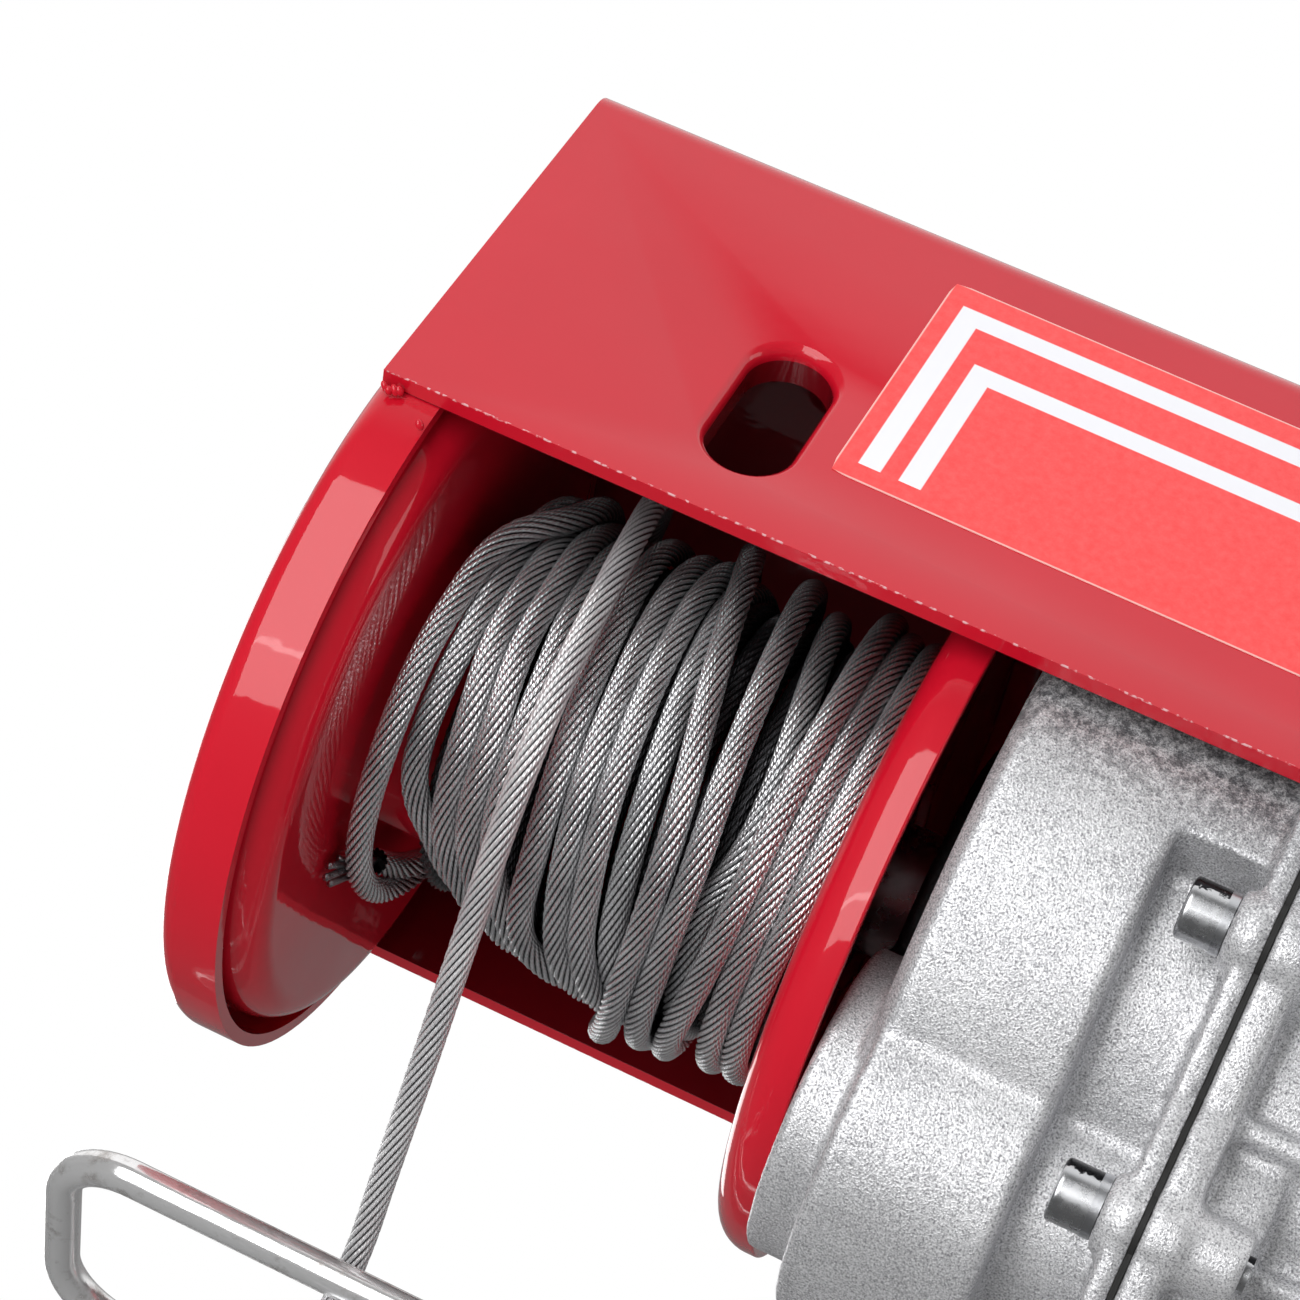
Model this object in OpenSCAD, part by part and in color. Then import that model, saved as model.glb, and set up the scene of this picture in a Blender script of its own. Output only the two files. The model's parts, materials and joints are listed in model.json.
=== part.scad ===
// Small electric wire rope hoist: red folded channel, rope drum, cast gearbox,
// motor with brake and fan, limit lever and hook. Millimetres, +Z up.
// The origin is the centre of the four hanging bolt holes, on the channel's top face.

/* [Channel frame] */
// Length of the folded channel
channel_len = 300; // [250:1:360]
// Clear width between the channel's walls
channel_in = 120; // [118:1:140]
// Thickness of the channel's sheet
sheet = 2.5; // [2:0.5:3]
// Height of the top face above the drum's axis
axis_to_top = 66.5; // [66:0.1:80]
// How far the walls reach below the drum's axis
wall_drop = 5; // [2:1:12]
// Outer radius of the channel's bends
bend_r = 5.5; // [5:0.5:8]
// Spacing of the hanging bolts along the channel
bolt_dx = 180; // [150:5:200]
// Spacing of the hanging bolts across the channel
bolt_dy = 70; // [50:5:90]
// Diameter of the hanging bolt holes
bolt_hole_d = 9; // [6:0.5:11]

/* [Hook slot in the front wall] */
// Width of the opening
slot_w = 12.6; // [10:0.2:16]
// Height of the opening
slot_h = 25.6; // [20:0.2:32]
// Radius of the rolled rim
slot_rim = 2.2; // [2:0.1:3]
// Depth of the collar behind the wall
slot_collar = 4; // [2:0.5:6]
// Distance of the slot from the end pan
slot_x = 49; // [44:0.5:54]
// Height of the slot's centre above the drum's axis
slot_z = 17.4; // [14:0.2:24]

/* [Sticker on the front wall] */
// Distance of the sticker from the end pan
label_x = 60.5; // [58:0.5:80]
// Height of the sticker's lower edge above the drum's axis
label_z = 10.8; // [4:0.2:12]
// Length of the sticker
label_len = 150; // [60:1:170]
// Height of the sticker
label_h = 44.2; // [20:0.2:46]
// Thickness of the sticker's film
label_t = 0.4; // [0.2:0.1:0.6]

/* [End pan] */
// Thickness of the pan's sheet
pan_sheet = 2; // [1.5:0.5:2.5]
// Depth of the pan's lip
pan_lip = 9.8; // [8:0.2:11]
// Outer radius of the pan's pressed corner
pan_corner = 3.2; // [3:0.2:5]
// How far the end bearing reaches into the pan
bearing_in = 8; // [6:0.5:8.5]

/* [Rope drum] */
// Diameter of the drum's two flanges
flange_d = 111.2; // [100:0.2:111.2]
// Distance from the end pan's outer face to the left flange's face
drum_x = 13.5; // [12.5:0.5:16]
// Clear length of the drum between its flanges
drum_len = 70.5; // [69:0.5:71.5]
// Thickness of the flanges
flange_sheet = 1.8; // [1.5:0.1:2]
// Depth of each flange's lip
flange_lip = 7.4; // [6:0.2:7.6]
// Outer radius of each flange's pressed corner
flange_corner = 5.5; // [4:0.5:6]
// Diameter of the drum's barrel
barrel_d = 44; // [40:1:48]
// Wall of the drum's barrel
barrel_wall = 3; // [2:0.5:4]

/* [Rope] */
// Diameter of the wire rope
rope_d = 4; // [3:0.1:4]
// Loops of rope that show on the drum
rope_loops = 13; // [8:1:13]
// Axial distance between two loops
rope_pitch = 4.62; // [4.5:0.01:4.64]
// Radius of the outer layer's centreline
wrap_r = 33; // [31:0.5:33.2]
// Slack of the outer layer, in and out
wrap_slack = 0.5; // [0:0.1:0.6]

/* [Hook] */
// Thickness of the hook's forged body
hook_t = 9; // [8:0.5:10]
// Inner diameter of the hook's bowl
hook_bowl = 22; // [18:1:26]
// Thickness of the hook's eye ring
hook_eye_t = 6; // [5:0.5:7]
// Inner diameter of the hook's eye
hook_eye_d = 14; // [13.5:0.5:18]

/* [Limit lever] */
// Diameter of the lever's bent rod
lever_rod = 5.4; // [4:0.2:6]
// Distance between the two legs of the lever
lever_gap = 40; // [34:1:44]
// Depth of the lever below the drum's axis
lever_drop = 75; // [72:1:85]

/* [Gearbox] */
// Outer radius of the main housing
housing_r = 57; // [54:0.5:58]
// Wall thickness of the castings
housing_wall = 5; // [4:0.5:6]
// Distance between the drum's axis and the intermediate shaft, a multiple of half the module
gear_centre = 42; // [42:1.5:45]
// Module of the final gear pair
final_module = 1.5; // [1, 1.5]
// Teeth of the final pinion
final_pinion_t = 12; // [11:1:14]
// Distance between the intermediate shaft and the motor's shaft
motor_centre = 30; // [27:0.5:32]
// Module of the first gear pair
first_module = 1; // [1]
// Teeth of the motor's pinion
motor_pinion_t = 10; // [9:1:12]
// Width of the final gears
final_w = 12; // [8:1:12]
// Width of the first gears
first_w = 8; // [6:1:8]

/* [Motor] */
// Outer radius of the motor's shell
motor_r = 50; // [46:0.5:52]
// Length of the motor's shell
motor_len = 120; // [110:1:140]
// Length of the stator and rotor stacks
stack_len = 70; // [50:1:80]
// Height of the cooling fins
fin_h = 3; // [2:0.5:5]

/* [Terminal box] */
// Length of the terminal box
box_len = 100; // [90:1:110]
// Depth of the terminal box from the rear wall
box_depth = 42; // [40:1:60]
// Height of the terminal box
box_h = 60; // [50:1:62]

/* [Hidden] */
$fn = 64;

RED = "#c5142b";
CAST = "#b9bbbd";
STEEL = "#8f9396";
BRIGHT = "#c9ccd0";
BLACK = "#242424";
ROPE = "#9b9da0";
COPPER = "#b06a35";

touch = 0.01;            // parts of one solid run into each other by this much
run_fit = 0.05;          // radial clearance of a turning shaft
free_gap = 0.3;          // clearance of a piece that only passes by

// Channel
half_in = channel_in / 2;
half_out = half_in + sheet;
web_z = axis_to_top - sheet;
channel_x = 1;
hang_x = 45 + bolt_dx / 2;
rim_set = 0.15;          // the rim's round runs out of the wall's face by this much

// End pan and its bearing: bore radius, outer radius and width of a 6202 bearing
pan_r = half_in;
pan_top = web_z - free_gap;
pan_plate_r = pan_r - pan_corner - 0.5;
b6202 = [7.5, 17.5, 11];
bearing_out = bearing_in - b6202[2];
cup_r = b6202[1] + 4;
cup_hole_r = cup_r + 0.25;
cup_recess = 0.5;
cup_wall = 2;
cup_flange_r = 31;
cup_flange_t = 3.5;
cup_screw_r = 26;
cup_head = 2.5;
CUP_SCREWS = [for (a = [30:120:270]) [cup_screw_r * cos(a), cup_screw_r * sin(a)]];

// Screws: shank, clearance hole, round head, hexagon across its corners
m5_r = 2.5;
m5_hole_r = 2.75;
m5_head_r = 4.5;
m5_hex_r = 4.6;
m5_nut_t = 4;

// Drum
flange_r = flange_d / 2;
barrel_r = barrel_d / 2;
right_face_x = drum_x + drum_len;
stub_r = b6202[0];
shaft_r = 10;
hub_len = 12;
key_w = 6;
anchor_hole_r = rope_d / 2 + 0.5;
anchor_r = wrap_r - 4;

// Rope on the drum
rope_r = rope_d / 2;
rope_sides = 6;
rope_rings = 24;
wind_x0 = right_face_x - rope_r - 0.7 - rope_loops * rope_pitch;
core_r = wrap_r - wrap_slack - rope_r - 0.4;
core_x0 = wind_x0 + 3;
core_x1 = right_face_x - 6.5;
ANCHOR_ANGLE = 50;
END_ANGLE = 0;
LOOP_STEPS = rope_loops * rope_rings;

// Out of the left flange, round the drum and down onto the barrel at the right flange
ANCHOR = [drum_x, anchor_r * cos(ANCHOR_ANGLE), anchor_r * sin(ANCHOR_ANGLE)];
LEAD_IN = [ANCHOR, ANCHOR + [rope_d, 0, 0]];
LEAD_CURVE = [ANCHOR + [rope_d, 0, 0], ANCHOR + [rope_d + 3, 0, 0],
    wrap_point(6) - 12 * wrap_dir(6), wrap_point(6)];
LAST = LOOP_STEPS - 2;
TUCK_ANGLE = END_ANGLE + (LAST + 5) * 360 / rope_rings;
TUCK = [wind_x0 + LOOP_STEPS * rope_pitch / rope_rings, cos(TUCK_ANGLE), sin(TUCK_ANGLE)];
TUCK_CURVE = [wrap_point(LAST), wrap_point(LAST) + 9 * wrap_dir(LAST),
    [TUCK[0], (barrel_r + rope_d + 9) * TUCK[1], (barrel_r + rope_d + 9) * TUCK[2]],
    [TUCK[0], (barrel_r + rope_d) * TUCK[1], (barrel_r + rope_d) * TUCK[2]]];
WINDING = concat([LEAD_IN[0]], [for (i = [0:6]) bezier(LEAD_CURVE, i / 7)],
    [for (k = [6:LAST - 1]) wrap_point(k)], [for (i = [0:6]) bezier(TUCK_CURVE, i / 6)],
    [[TUCK[0], barrel_r * TUCK[1], barrel_r * TUCK[2]]]);

// Rope from the drum to the ferrule: [along, across, up] from the drum's axis,
// over the top layer, down past the lever's front leg and straight down
fall_x = 39;
fall_drop = 84;
ROUTE = [[27.5, 0, 38.2], [29.3, -9.9, 36.9], [31.2, -19.1, 33.1], [32.8, -27, 27], [34.3, -33.1, 19.1],
    [35.8, -36.9, 9.9], [36.9, -38.2, 0], [37.7, -36.9, -9.9], [38.1, -33.1, -19.1], [38.5, -27, -27],
    [38.7, -17.6, -33.9], [38.8, -7.5, -39.3], [38.9, 2.6, -44.6], [39, 12.7, -50], [39, 22.8, -55.3],
    [39, 32.9, -60.7], [39, 43, -66], [39, 47.5, -70.5], [39, 49.5, -76.5], [39, 49.5, -84]];
fall_y = 49.5;

// Ferrule, thimble and the eye of rope round it
ferrule_len = 19;
ferrule_wall = 1.8;
ferrule_top = -fall_drop;
ferrule_bottom = ferrule_top - ferrule_len;
tail_dx = rope_d + 0.2;
tail_len = 13;
eye_mid_x = fall_x + tail_dx / 2;
thimble_r = 10.5;
thimble_t = 2.2;
thimble_w = 6.4;
eye_z = ferrule_bottom - 17;
eye_rope_r = thimble_r + rope_r - 0.6;

// Hook: it hangs from the thimble's lowest arc and swings about it
thimble_in_r = thimble_r - thimble_t;
hook_eye_z = eye_z - thimble_in_r + free_gap - hook_eye_d / 2;
hook_neck_z = hook_eye_z - hook_eye_d / 2 - hook_eye_t;
bowl_r = hook_bowl / 2;
bowl_z = hook_neck_z - 26;
latch_z = hook_neck_z - 5;
latch_pin_r = 1.5;
latch_len = 19.5;
latch_angle = -71;

// Limit lever: a hairpin of rod with its open end on a pivot under the motor
lever_r = lever_rod / 2;
lever_y0 = 38;
lever_y1 = lever_y0 + lever_gap;
lever_z = -lever_drop;
lever_x0 = -4.4;
lever_bend = 11.5;
pivot_x = 190;
pivot_r = 3;
pivot_eye_r = 6.5;
tab_x = 160;
tab_w = 12;
tab_t = 2;
tab_top = lever_z + lever_r + tab_t;
switch_y = 48;
switch_floor = tab_top + 4;
switch_h = 15;
switch_x0 = 146;
switch_x1 = 176;
bracket_t = 2.5;
bracket_x0 = 156;
bracket_x1 = pivot_x + 6;
bracket_y1 = half_in;
bracket_y0 = bracket_y1 - bracket_t;
bracket_bolt_z = 8;
BRACKET_BOLTS = [pivot_x - 26, pivot_x - 4];

// Gearbox
housing_x = 98;
shoulder_x = 123.5;
neck_r = housing_r - 8;
left_cavity_r = neck_r - 4;
neck_top_z = -15.7;
joint_x = 139.5;
flange_t = 3;
gasket_t = 0.8;
right_x = joint_x + gasket_t;
right_flange_t = 5;
right_wall_x = 160;
motor_x = 170;
lug_r = 6;
mid_angle = -96;
mid_y = gear_centre * cos(mid_angle);
mid_z = gear_centre * sin(mid_angle);
motor_y = mid_y - motor_centre * cos(mid_angle);
motor_z = mid_z - motor_centre * sin(mid_angle);
lobe_r = 27.6;
lobe_neck_r = lobe_r - 8;
boss_r = 22;
boss_x = 92;
lobe_x = 99;
final_gear_t = round(2 * gear_centre / final_module) - final_pinion_t;
first_gear_t = round(2 * motor_centre / first_module) - motor_pinion_t;
final_x = 113;
first_x = 142;
second_bearing_x = first_x + first_w + 2;
RIBS = [for (a = [-160:20:-20]) a];
first_cavity_r = first_gear_t * first_module / 2 + first_module + 1.5;
first_lobe_r = first_cavity_r + housing_wall - 1;
lobe_flange_r = 38.5;
flange_big_r = housing_r + 5;
screw_r = 2.5;
screw_head_r = 4.25;
screw_boss = 2;
washer_t = 1.3;
low_screw_r = 59;
high_screw_r = 61;
lobe_screw_r = 34;
// Each housing screw: [across, up] from the drum's axis
SCREWS = [low_screw(-154), lobe_screw(-148), lobe_screw(-90), lobe_screw(-32), low_screw(-26),
    high_screw(42), high_screw(138)];
b6004 = [10, 21, 12];
b6003 = [8.5, 17.5, 10];
b6201 = [6, 16, 10];
plate_x = 128;
output_end_x = plate_x + b6003[2];

// Motor
motor_in_r = motor_r - 4;
motor_end_x = motor_x + motor_len;
shield_t = 14;
shield_x1 = motor_end_x + shield_t;
rotor_r = motor_r - 23;
air_gap = 0.4;
stack_x = motor_x + (motor_len - stack_len) / 2;
coil_len = 14;
fins = 24;
first_bearing_x = 164;
last_bearing_x = shield_x1 - b6202[2] - 1;
brake_x = shield_x1 + 1;
brake_r = motor_r - 18;
armature_gap = 0.4;
armature_x = brake_x + 8 + armature_gap;
disc_x = armature_x + 3.2;
fan_x = disc_x + 8;
fan_r = motor_r - 8;
cover_x1 = fan_x + 20;

// Bolts that hold the gearbox and the motor to the channel: [along, across]
pad_r = 7;
frame_bolt_r = 4;
PADS = [for (dx = [0, 1], dy = [-1, 1]) [housing_x + 10.5 + dx * 16, dy * 24]];
SHIELD_BOLTS = [for (dy = [-1, 1]) [shield_x1 - pad_r, dy * 24]];
FRAME_BOLTS = concat(PADS, SHIELD_BOLTS);

// Terminal box on the rear wall
box_x = 196;
box_z = -2;
box_wall = 2.5;
gland_r = 9;
cap_r = 15;
BOX_FEET = [box_x + 8, box_x + box_len - 8];
box_y0 = half_out;
box_y1 = box_y0 + box_depth;
GLANDS = [box_x + 30, box_x + 70];

function low_screw(a) = [low_screw_r * cos(a), low_screw_r * sin(a)];
function high_screw(a) = [high_screw_r * cos(a), high_screw_r * sin(a)];
function lobe_screw(a) = [mid_y + lobe_screw_r * cos(a), mid_z + lobe_screw_r * sin(a)];

// ---------------------------------------------------------------- helpers

// Moves the drum's axis frame to the part's own origin
module placed() {
    translate([-hang_x, 0, -axis_to_top]) children();
}

// A cylinder along X from x0 to x1 at [y, z]
module xcyl(x0, x1, r, y = 0, z = 0) {
    translate([x0, y, z]) rotate([0, 90, 0]) cylinder(r = r, h = x1 - x0);
}

// A ring along X
module xring(x0, x1, ro, ri, y = 0, z = 0) {
    difference() {
        xcyl(x0, x1, ro, y, z);
        xcyl(x0 - 1, x1 + 1, ri, y, z);
    }
}

// A cylinder along Y from y0 to y1 at [x, z]
module ycyl(y0, y1, r, x, z) {
    translate([x, y0, z]) rotate([-90, 0, 0]) cylinder(r = r, h = y1 - y0);
}

// A box from its lowest to its highest corner
module span(a, b) {
    translate(a) cube(b - a);
}

// Turns a [radius, x] profile about the X axis
module xspin() {
    rotate([0, 90, 0]) rotate_extrude() children();
}

// Rotates children into an extrusion along X, with 2-D x as Y and 2-D y as Z
module along_x(x0, len) {
    translate([x0, 0, 0]) rotate([90, 0, 90]) linear_extrude(len) children();
}

// [radius, depth] section of a pressed pan with a rounded corner
module pan_solid_section(ro, depth, corner) {
    translate([0, corner]) square([ro, depth - corner]);
    square([ro - corner, depth]);
    intersection() {
        translate([ro - corner, corner]) circle(corner);
        square([ro, depth]);
    }
}

module pan_section(ro, ri, depth, corner, t) {
    difference() {
        pan_solid_section(ro, depth, corner);
        translate([0, t]) pan_solid_section(ro - t, depth, max(corner - t, 0.4));
        translate([-1, -1]) square([ri + 1, depth + 2]);
    }
}

// ---------------------------------------------------------------- gear teeth

function turned(p, a) = [p[0] * cos(a) - p[1] * sin(a), p[0] * sin(a) + p[1] * cos(a)];
function roll(base, r) = sqrt(max(pow(r / base, 2) - 1, 0)) * 180 / PI;
function flank_angle(base, r) = roll(base, r) - atan(roll(base, r) * PI / 180);

// One spur gear outline of 20 degree teeth, thinned for backlash
module gear_outline(m, teeth, backlash = 0.25, steps = 4) {
    pitch = m * teeth / 2;
    base = pitch * cos(20);
    tip = pitch + 0.8 * m;
    root = max(pitch - 1.2 * m, 1);
    start = max(base, root + 0.05);
    half = 90 / teeth - backlash / pitch * 90 / PI;
    radii = concat([root], [for (k = [0:steps]) start + (tip - start) * k / steps]);
    points = [for (i = [0:teeth - 1], side = [-1, 1], k = [0:steps + 1])
        let (
            r = radii[side < 0 ? k : steps + 1 - k],
            a = half + flank_angle(base, pitch) - flank_angle(base, r))
        turned([r, 0], i * 360 / teeth + side * a)];
    polygon(points);
}

// ---------------------------------------------------------------- frame

module channel_outline(half, top, r) {
    translate([-half, -wall_drop]) square([2 * half, top + wall_drop - r]);
    translate([-half + r, 0]) square([2 * half - 2 * r, top]);
    for (side = [-1, 1]) translate([side * (half - r), top - r]) circle(r);
}

// An upright stadium, width by height
module stadium(w, h) {
    square([w, h - w], center = true);
    for (side = [-1, 1]) translate([0, side * (h - w) / 2]) circle(w / 2);
}

// Half of the slot's hollow, in [outwards from its middle, depth behind the wall's face]:
// the rolled rim is the round that it leaves
module slot_hollow_section() {
    difference() {
        translate([0, -1]) square([slot_w / 2 + slot_rim, slot_rim + 1 - rim_set]);
        translate([slot_w / 2 + slot_rim, slot_rim - rim_set]) circle(slot_rim);
    }
    translate([0, slot_rim - rim_set]) square([slot_w / 2, sheet + slot_collar]);
}

// Puts children at the slot: X along the channel, Y down, Z into the wall
module at_slot() {
    translate([slot_x, -half_out, slot_z]) rotate([-90, 0, 0]) children();
}

module slot_hollow() {
    straight = slot_h - slot_w;
    at_slot() {
        for (side = [0, 180]) rotate([0, 0, side]) {
            translate([0, straight / 2, 0]) rotate_extrude(angle = 180) slot_hollow_section();
            translate([0, straight / 2, 0]) rotate([90, 0, 0]) linear_extrude(straight) slot_hollow_section();
        }
    }
}

module channel_frame() {
    color(RED) placed() {
        difference() {
            union() {
                along_x(channel_x, channel_len) difference() {
                    channel_outline(half_out, axis_to_top, bend_r);
                    translate([0, -1]) channel_outline(half_in, web_z + 1, bend_r - sheet);
                }
                at_slot() translate([0, 0, sheet / 2]) linear_extrude(sheet / 2 + slot_collar)
                    stadium(slot_w + 2 * slot_rim, slot_h + 2 * slot_rim);
            }
            slot_hollow();
            for (dx = [-1, 1], dy = [-1, 1])
                translate([hang_x + dx * bolt_dx / 2, dy * bolt_dy / 2, web_z - 1])
                    cylinder(d = bolt_hole_d, h = sheet + 2);
            for (p = FRAME_BOLTS) translate([p[0], p[1], web_z - 1])
                cylinder(r = frame_bolt_r + 0.25, h = sheet + 2);
            for (x = BRACKET_BOLTS) ycyl(half_in - 1, half_out + 1, m5_hole_r, x, bracket_bolt_z);
            ycyl(half_in - 1, half_out + 1, 5, box_x + 30, box_z + 30);
            for (x = BOX_FEET) ycyl(half_in - 1, half_out + 1, 2.25, x, box_z + box_h / 2);
        }
    }
}

module label_plate() {
    color("#f04040") placed()
        span([label_x, -half_out - label_t, label_z], [label_x + label_len, -half_out, label_z + label_h]);
}

// ---------------------------------------------------------------- end pan

// The pan's lip where it runs straight: [inwards from the outer face, depth]
module lip_section() {
    translate([-pan_r, 0]) pan_section(pan_r, pan_plate_r, pan_lip, pan_corner, pan_sheet);
}

module end_pan() {
    color(RED) placed() difference() {
        union() {
            rotate([0, 90, 0]) rotate([0, 0, -90]) rotate_extrude(angle = 180)
                pan_section(pan_r, 0, pan_lip, pan_corner, pan_sheet);
            span([0, -pan_plate_r, 0], [pan_sheet, pan_plate_r, pan_top - pan_corner - 0.5]);
            for (side = [0, 1]) mirror([0, side, 0]) translate([0, pan_r, 0])
                linear_extrude(pan_top) rotate(90) mirror([0, 1]) lip_section();
            translate([0, pan_r - pan_sheet, pan_top]) rotate([90, 0, 0])
                linear_extrude(2 * (pan_r - pan_sheet)) rotate(90) mirror([0, 1]) lip_section();
        }
        // top corners, clear of the channel's bends
        for (side = [0, 1]) mirror([0, side, 0])
            translate([-1, pan_r, pan_top]) rotate([45, 0, 0]) translate([0, -5, -1.8])
                cube([pan_lip + 2, 10, 10]);
        xcyl(-1, pan_sheet + 1, cup_hole_r);
        for (p = CUP_SCREWS) xcyl(-1, pan_sheet + 1, m5_hole_r, p[0], p[1]);
    }
}

module end_bearing_housing() {
    color(CAST) placed() difference() {
        union() {
            xcyl(-cup_flange_t, 0, cup_flange_r);
            xcyl(bearing_out - cup_recess - cup_wall, bearing_in, cup_r);
        }
        xcyl(bearing_out, bearing_in + 1, b6202[1]);
        xcyl(bearing_out - cup_recess, bearing_in, b6202[1] - 3);
        for (p = CUP_SCREWS) xcyl(-cup_flange_t - 1, 1, m5_hole_r, p[0], p[1]);
    }
}

module bearing(x0, b, y = 0, z = 0) {
    inner = b[0] + (b[1] - b[0]) * 0.3;
    outer = b[1] - (b[1] - b[0]) * 0.28;
    difference() {
        xcyl(x0, x0 + b[2], b[1], y, z);
        xcyl(x0 - 1, x0 + b[2] + 1, b[0] + run_fit, y, z);
        for (x = [x0 - 1, x0 + b[2] - 0.6]) xring(x, x + 1.6, outer, inner, y, z);
    }
}

module end_bearing() {
    color(BRIGHT) placed() bearing(bearing_out, b6202);
}

module end_housing_screws() {
    color(BRIGHT) placed() for (p = CUP_SCREWS) {
        y = p[0];
        z = p[1];
        xcyl(-cup_flange_t, pan_sheet + 3.2, m5_r, y, z);
        difference() {
            xcyl(-cup_flange_t - cup_head, -cup_flange_t, m5_head_r, y, z);
            translate([-cup_flange_t - cup_head - 0.5, y, z]) rotate([0, 90, 0])
                cylinder(r = 2.2, h = 2, $fn = 6);
        }
        translate([pan_sheet, y, z]) rotate([0, 90, 0]) cylinder(r = 4.4, h = 3, $fn = 6);
    }
}

// ---------------------------------------------------------------- drum

module drum_barrel() {
    color(RED) placed() xring(drum_x, right_face_x, barrel_r, barrel_r - barrel_wall);
}

module drum_left_flange() {
    color(RED) placed() translate([drum_x, 0, 0]) mirror([1, 0, 0]) difference() {
        xspin() pan_section(flange_r, stub_r + 2, flange_lip, flange_corner, flange_sheet);
        xcyl(-1, flange_sheet + 1, anchor_hole_r, anchor_r * cos(ANCHOR_ANGLE), anchor_r * sin(ANCHOR_ANGLE));
    }
}

module drum_right_flange() {
    color(RED) placed() translate([right_face_x, 0, 0])
        xspin() pan_section(flange_r, shaft_r + 6, flange_lip, flange_corner, flange_sheet);
}

module drum_left_hub() {
    color(STEEL) placed() difference() {
        xcyl(drum_x, drum_x + 8, barrel_r - barrel_wall);
        xcyl(drum_x - 1, drum_x + 9, stub_r);
    }
}

module drum_stub_shaft() {
    color(BRIGHT) placed() {
        xcyl(bearing_out + 0.5, drum_x + 10, stub_r);
        xcyl(bearing_in + free_gap, drum_x, stub_r + 1.5);
    }
}

module drum_drive_hub() {
    color(STEEL) placed() difference() {
        xcyl(right_face_x - hub_len, right_face_x, barrel_r - barrel_wall);
        xcyl(right_face_x - hub_len - 1, right_face_x + 1, shaft_r);
        span([right_face_x - hub_len - 1, -key_w / 2, 0], [right_face_x + 1, key_w / 2, shaft_r + 2.8]);
    }
}

module drum_key() {
    color(BRIGHT) placed()
        span([right_face_x - hub_len, -key_w / 2, shaft_r - 3.5], [right_face_x, key_w / 2, shaft_r + 2.6]);
}

// The rope's end clamp on the outer side of the left flange
module rope_clamp() {
    y = anchor_r * cos(ANCHOR_ANGLE);
    z = anchor_r * sin(ANCHOR_ANGLE);
    color(BRIGHT) placed() {
        difference() {
            translate([drum_x - flange_sheet - 4.5, y, z]) rotate([ANCHOR_ANGLE, 0, 0])
                span([0, -6, -5], [4.5, 6, 5]);
            xcyl(drum_x - 12, drum_x, anchor_hole_r - 0.3, y, z);
        }
        xcyl(drum_x - flange_sheet - 6, drum_x - flange_sheet - 3, rope_r + 1.4, y, z);
    }
}

module winding_core() {
    color(ROPE) placed() xring(core_x0, core_x1, core_r, barrel_r);
}

// ---------------------------------------------------------------- rope forms

// Centre of the outer layer after k rings: it wavers in and out as a slack wrap does
function wrap_radius(k) = wrap_r + wrap_slack * sin(k * 360 / rope_rings * 0.37 - 63);
function wrap_point(k) = let (a = END_ANGLE + k * 360 / rope_rings, r = wrap_radius(k))
    [wind_x0 + k * rope_pitch / rope_rings, r * cos(a), r * sin(a)];
function bezier(p, t) = pow(1 - t, 3) * p[0] + 3 * t * pow(1 - t, 2) * p[1]
    + 3 * t * t * (1 - t) * p[2] + pow(t, 3) * p[3];
function unit(v) = v / norm(v);
function wrap_dir(k) = unit(wrap_point(k + 0.5) - wrap_point(k - 0.5));

// A tube along points: each ring is square to the mean of the two runs it joins
function ring_dir(p, i) = i == 0 ? unit(p[1] - p[0])
    : i == len(p) - 1 ? unit(p[i] - p[i - 1]) : unit(unit(p[i] - p[i - 1]) + unit(p[i + 1] - p[i]));
function next_side(side, dir) = unit(side - (side * dir) * dir);
function sides_along(p, i, side) = i >= len(p) ? []
    : let (s = next_side(side, ring_dir(p, i))) concat([s], sides_along(p, i + 1, s));

module tube(p, r, sides, start_side) {
    s = sides_along(p, 0, start_side);
    n = len(p);
    points = [for (i = [0:n - 1], j = [0:sides - 1])
        let (a = j * 360 / sides, u = s[i], v = cross(ring_dir(p, i), s[i]))
        p[i] + r * (cos(a) * u + sin(a) * v)];
    faces = concat(
        [for (j = [1:sides - 2]) [0, j + 1, j]],
        [for (i = [0:n - 2], j = [0:sides - 1])
            [i * sides + j, i * sides + (j + 1) % sides, (i + 1) * sides + j]],
        [for (i = [0:n - 2], j = [0:sides - 1])
            [(i + 1) * sides + j, i * sides + (j + 1) % sides, (i + 1) * sides + (j + 1) % sides]],
        [for (j = [1:sides - 2]) [(n - 1) * sides, (n - 1) * sides + j, (n - 1) * sides + j + 1]]);
    polyhedron(points, [for (f = faces) [f[2], f[1], f[0]]]);
}

// Least distance between rings of the winding that are more than half a loop apart
WINDING_GAP = min([for (i = [0:len(WINDING) - 1], j = [i + 12:1:min(i + 36, len(WINDING) - 1)])
    norm(WINDING[i] - WINDING[j])]) - rope_d;
echo(least_gap_of_the_winding_mm = WINDING_GAP);

module rope_winding() {
    color(ROPE) placed() tube(WINDING, rope_r, rope_sides, [0, 0, 1]);
}

module rope_fall() {
    color(ROPE) placed() tube(ROUTE, rope_r, 8, [1, 0, 0]);
}

// The eye: down out of the ferrule, round the thimble and up again beside itself
module rope_eye() {
    color(ROPE) placed() translate([eye_mid_x, fall_y, eye_z]) {
        rotate([90, 0, 0]) rotate([0, 0, 150]) rotate_extrude(angle = 240)
            translate([eye_rope_r, 0]) circle(rope_r, $fn = 24);
        for (side = [-1, 1]) {
            low = [side * eye_rope_r * cos(30), 0, eye_rope_r * sin(30)];
            high = [side * (tail_dx / 2), 0, ferrule_bottom - eye_z];
            rod(low, high, rope_r);
        }
    }
}

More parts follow.
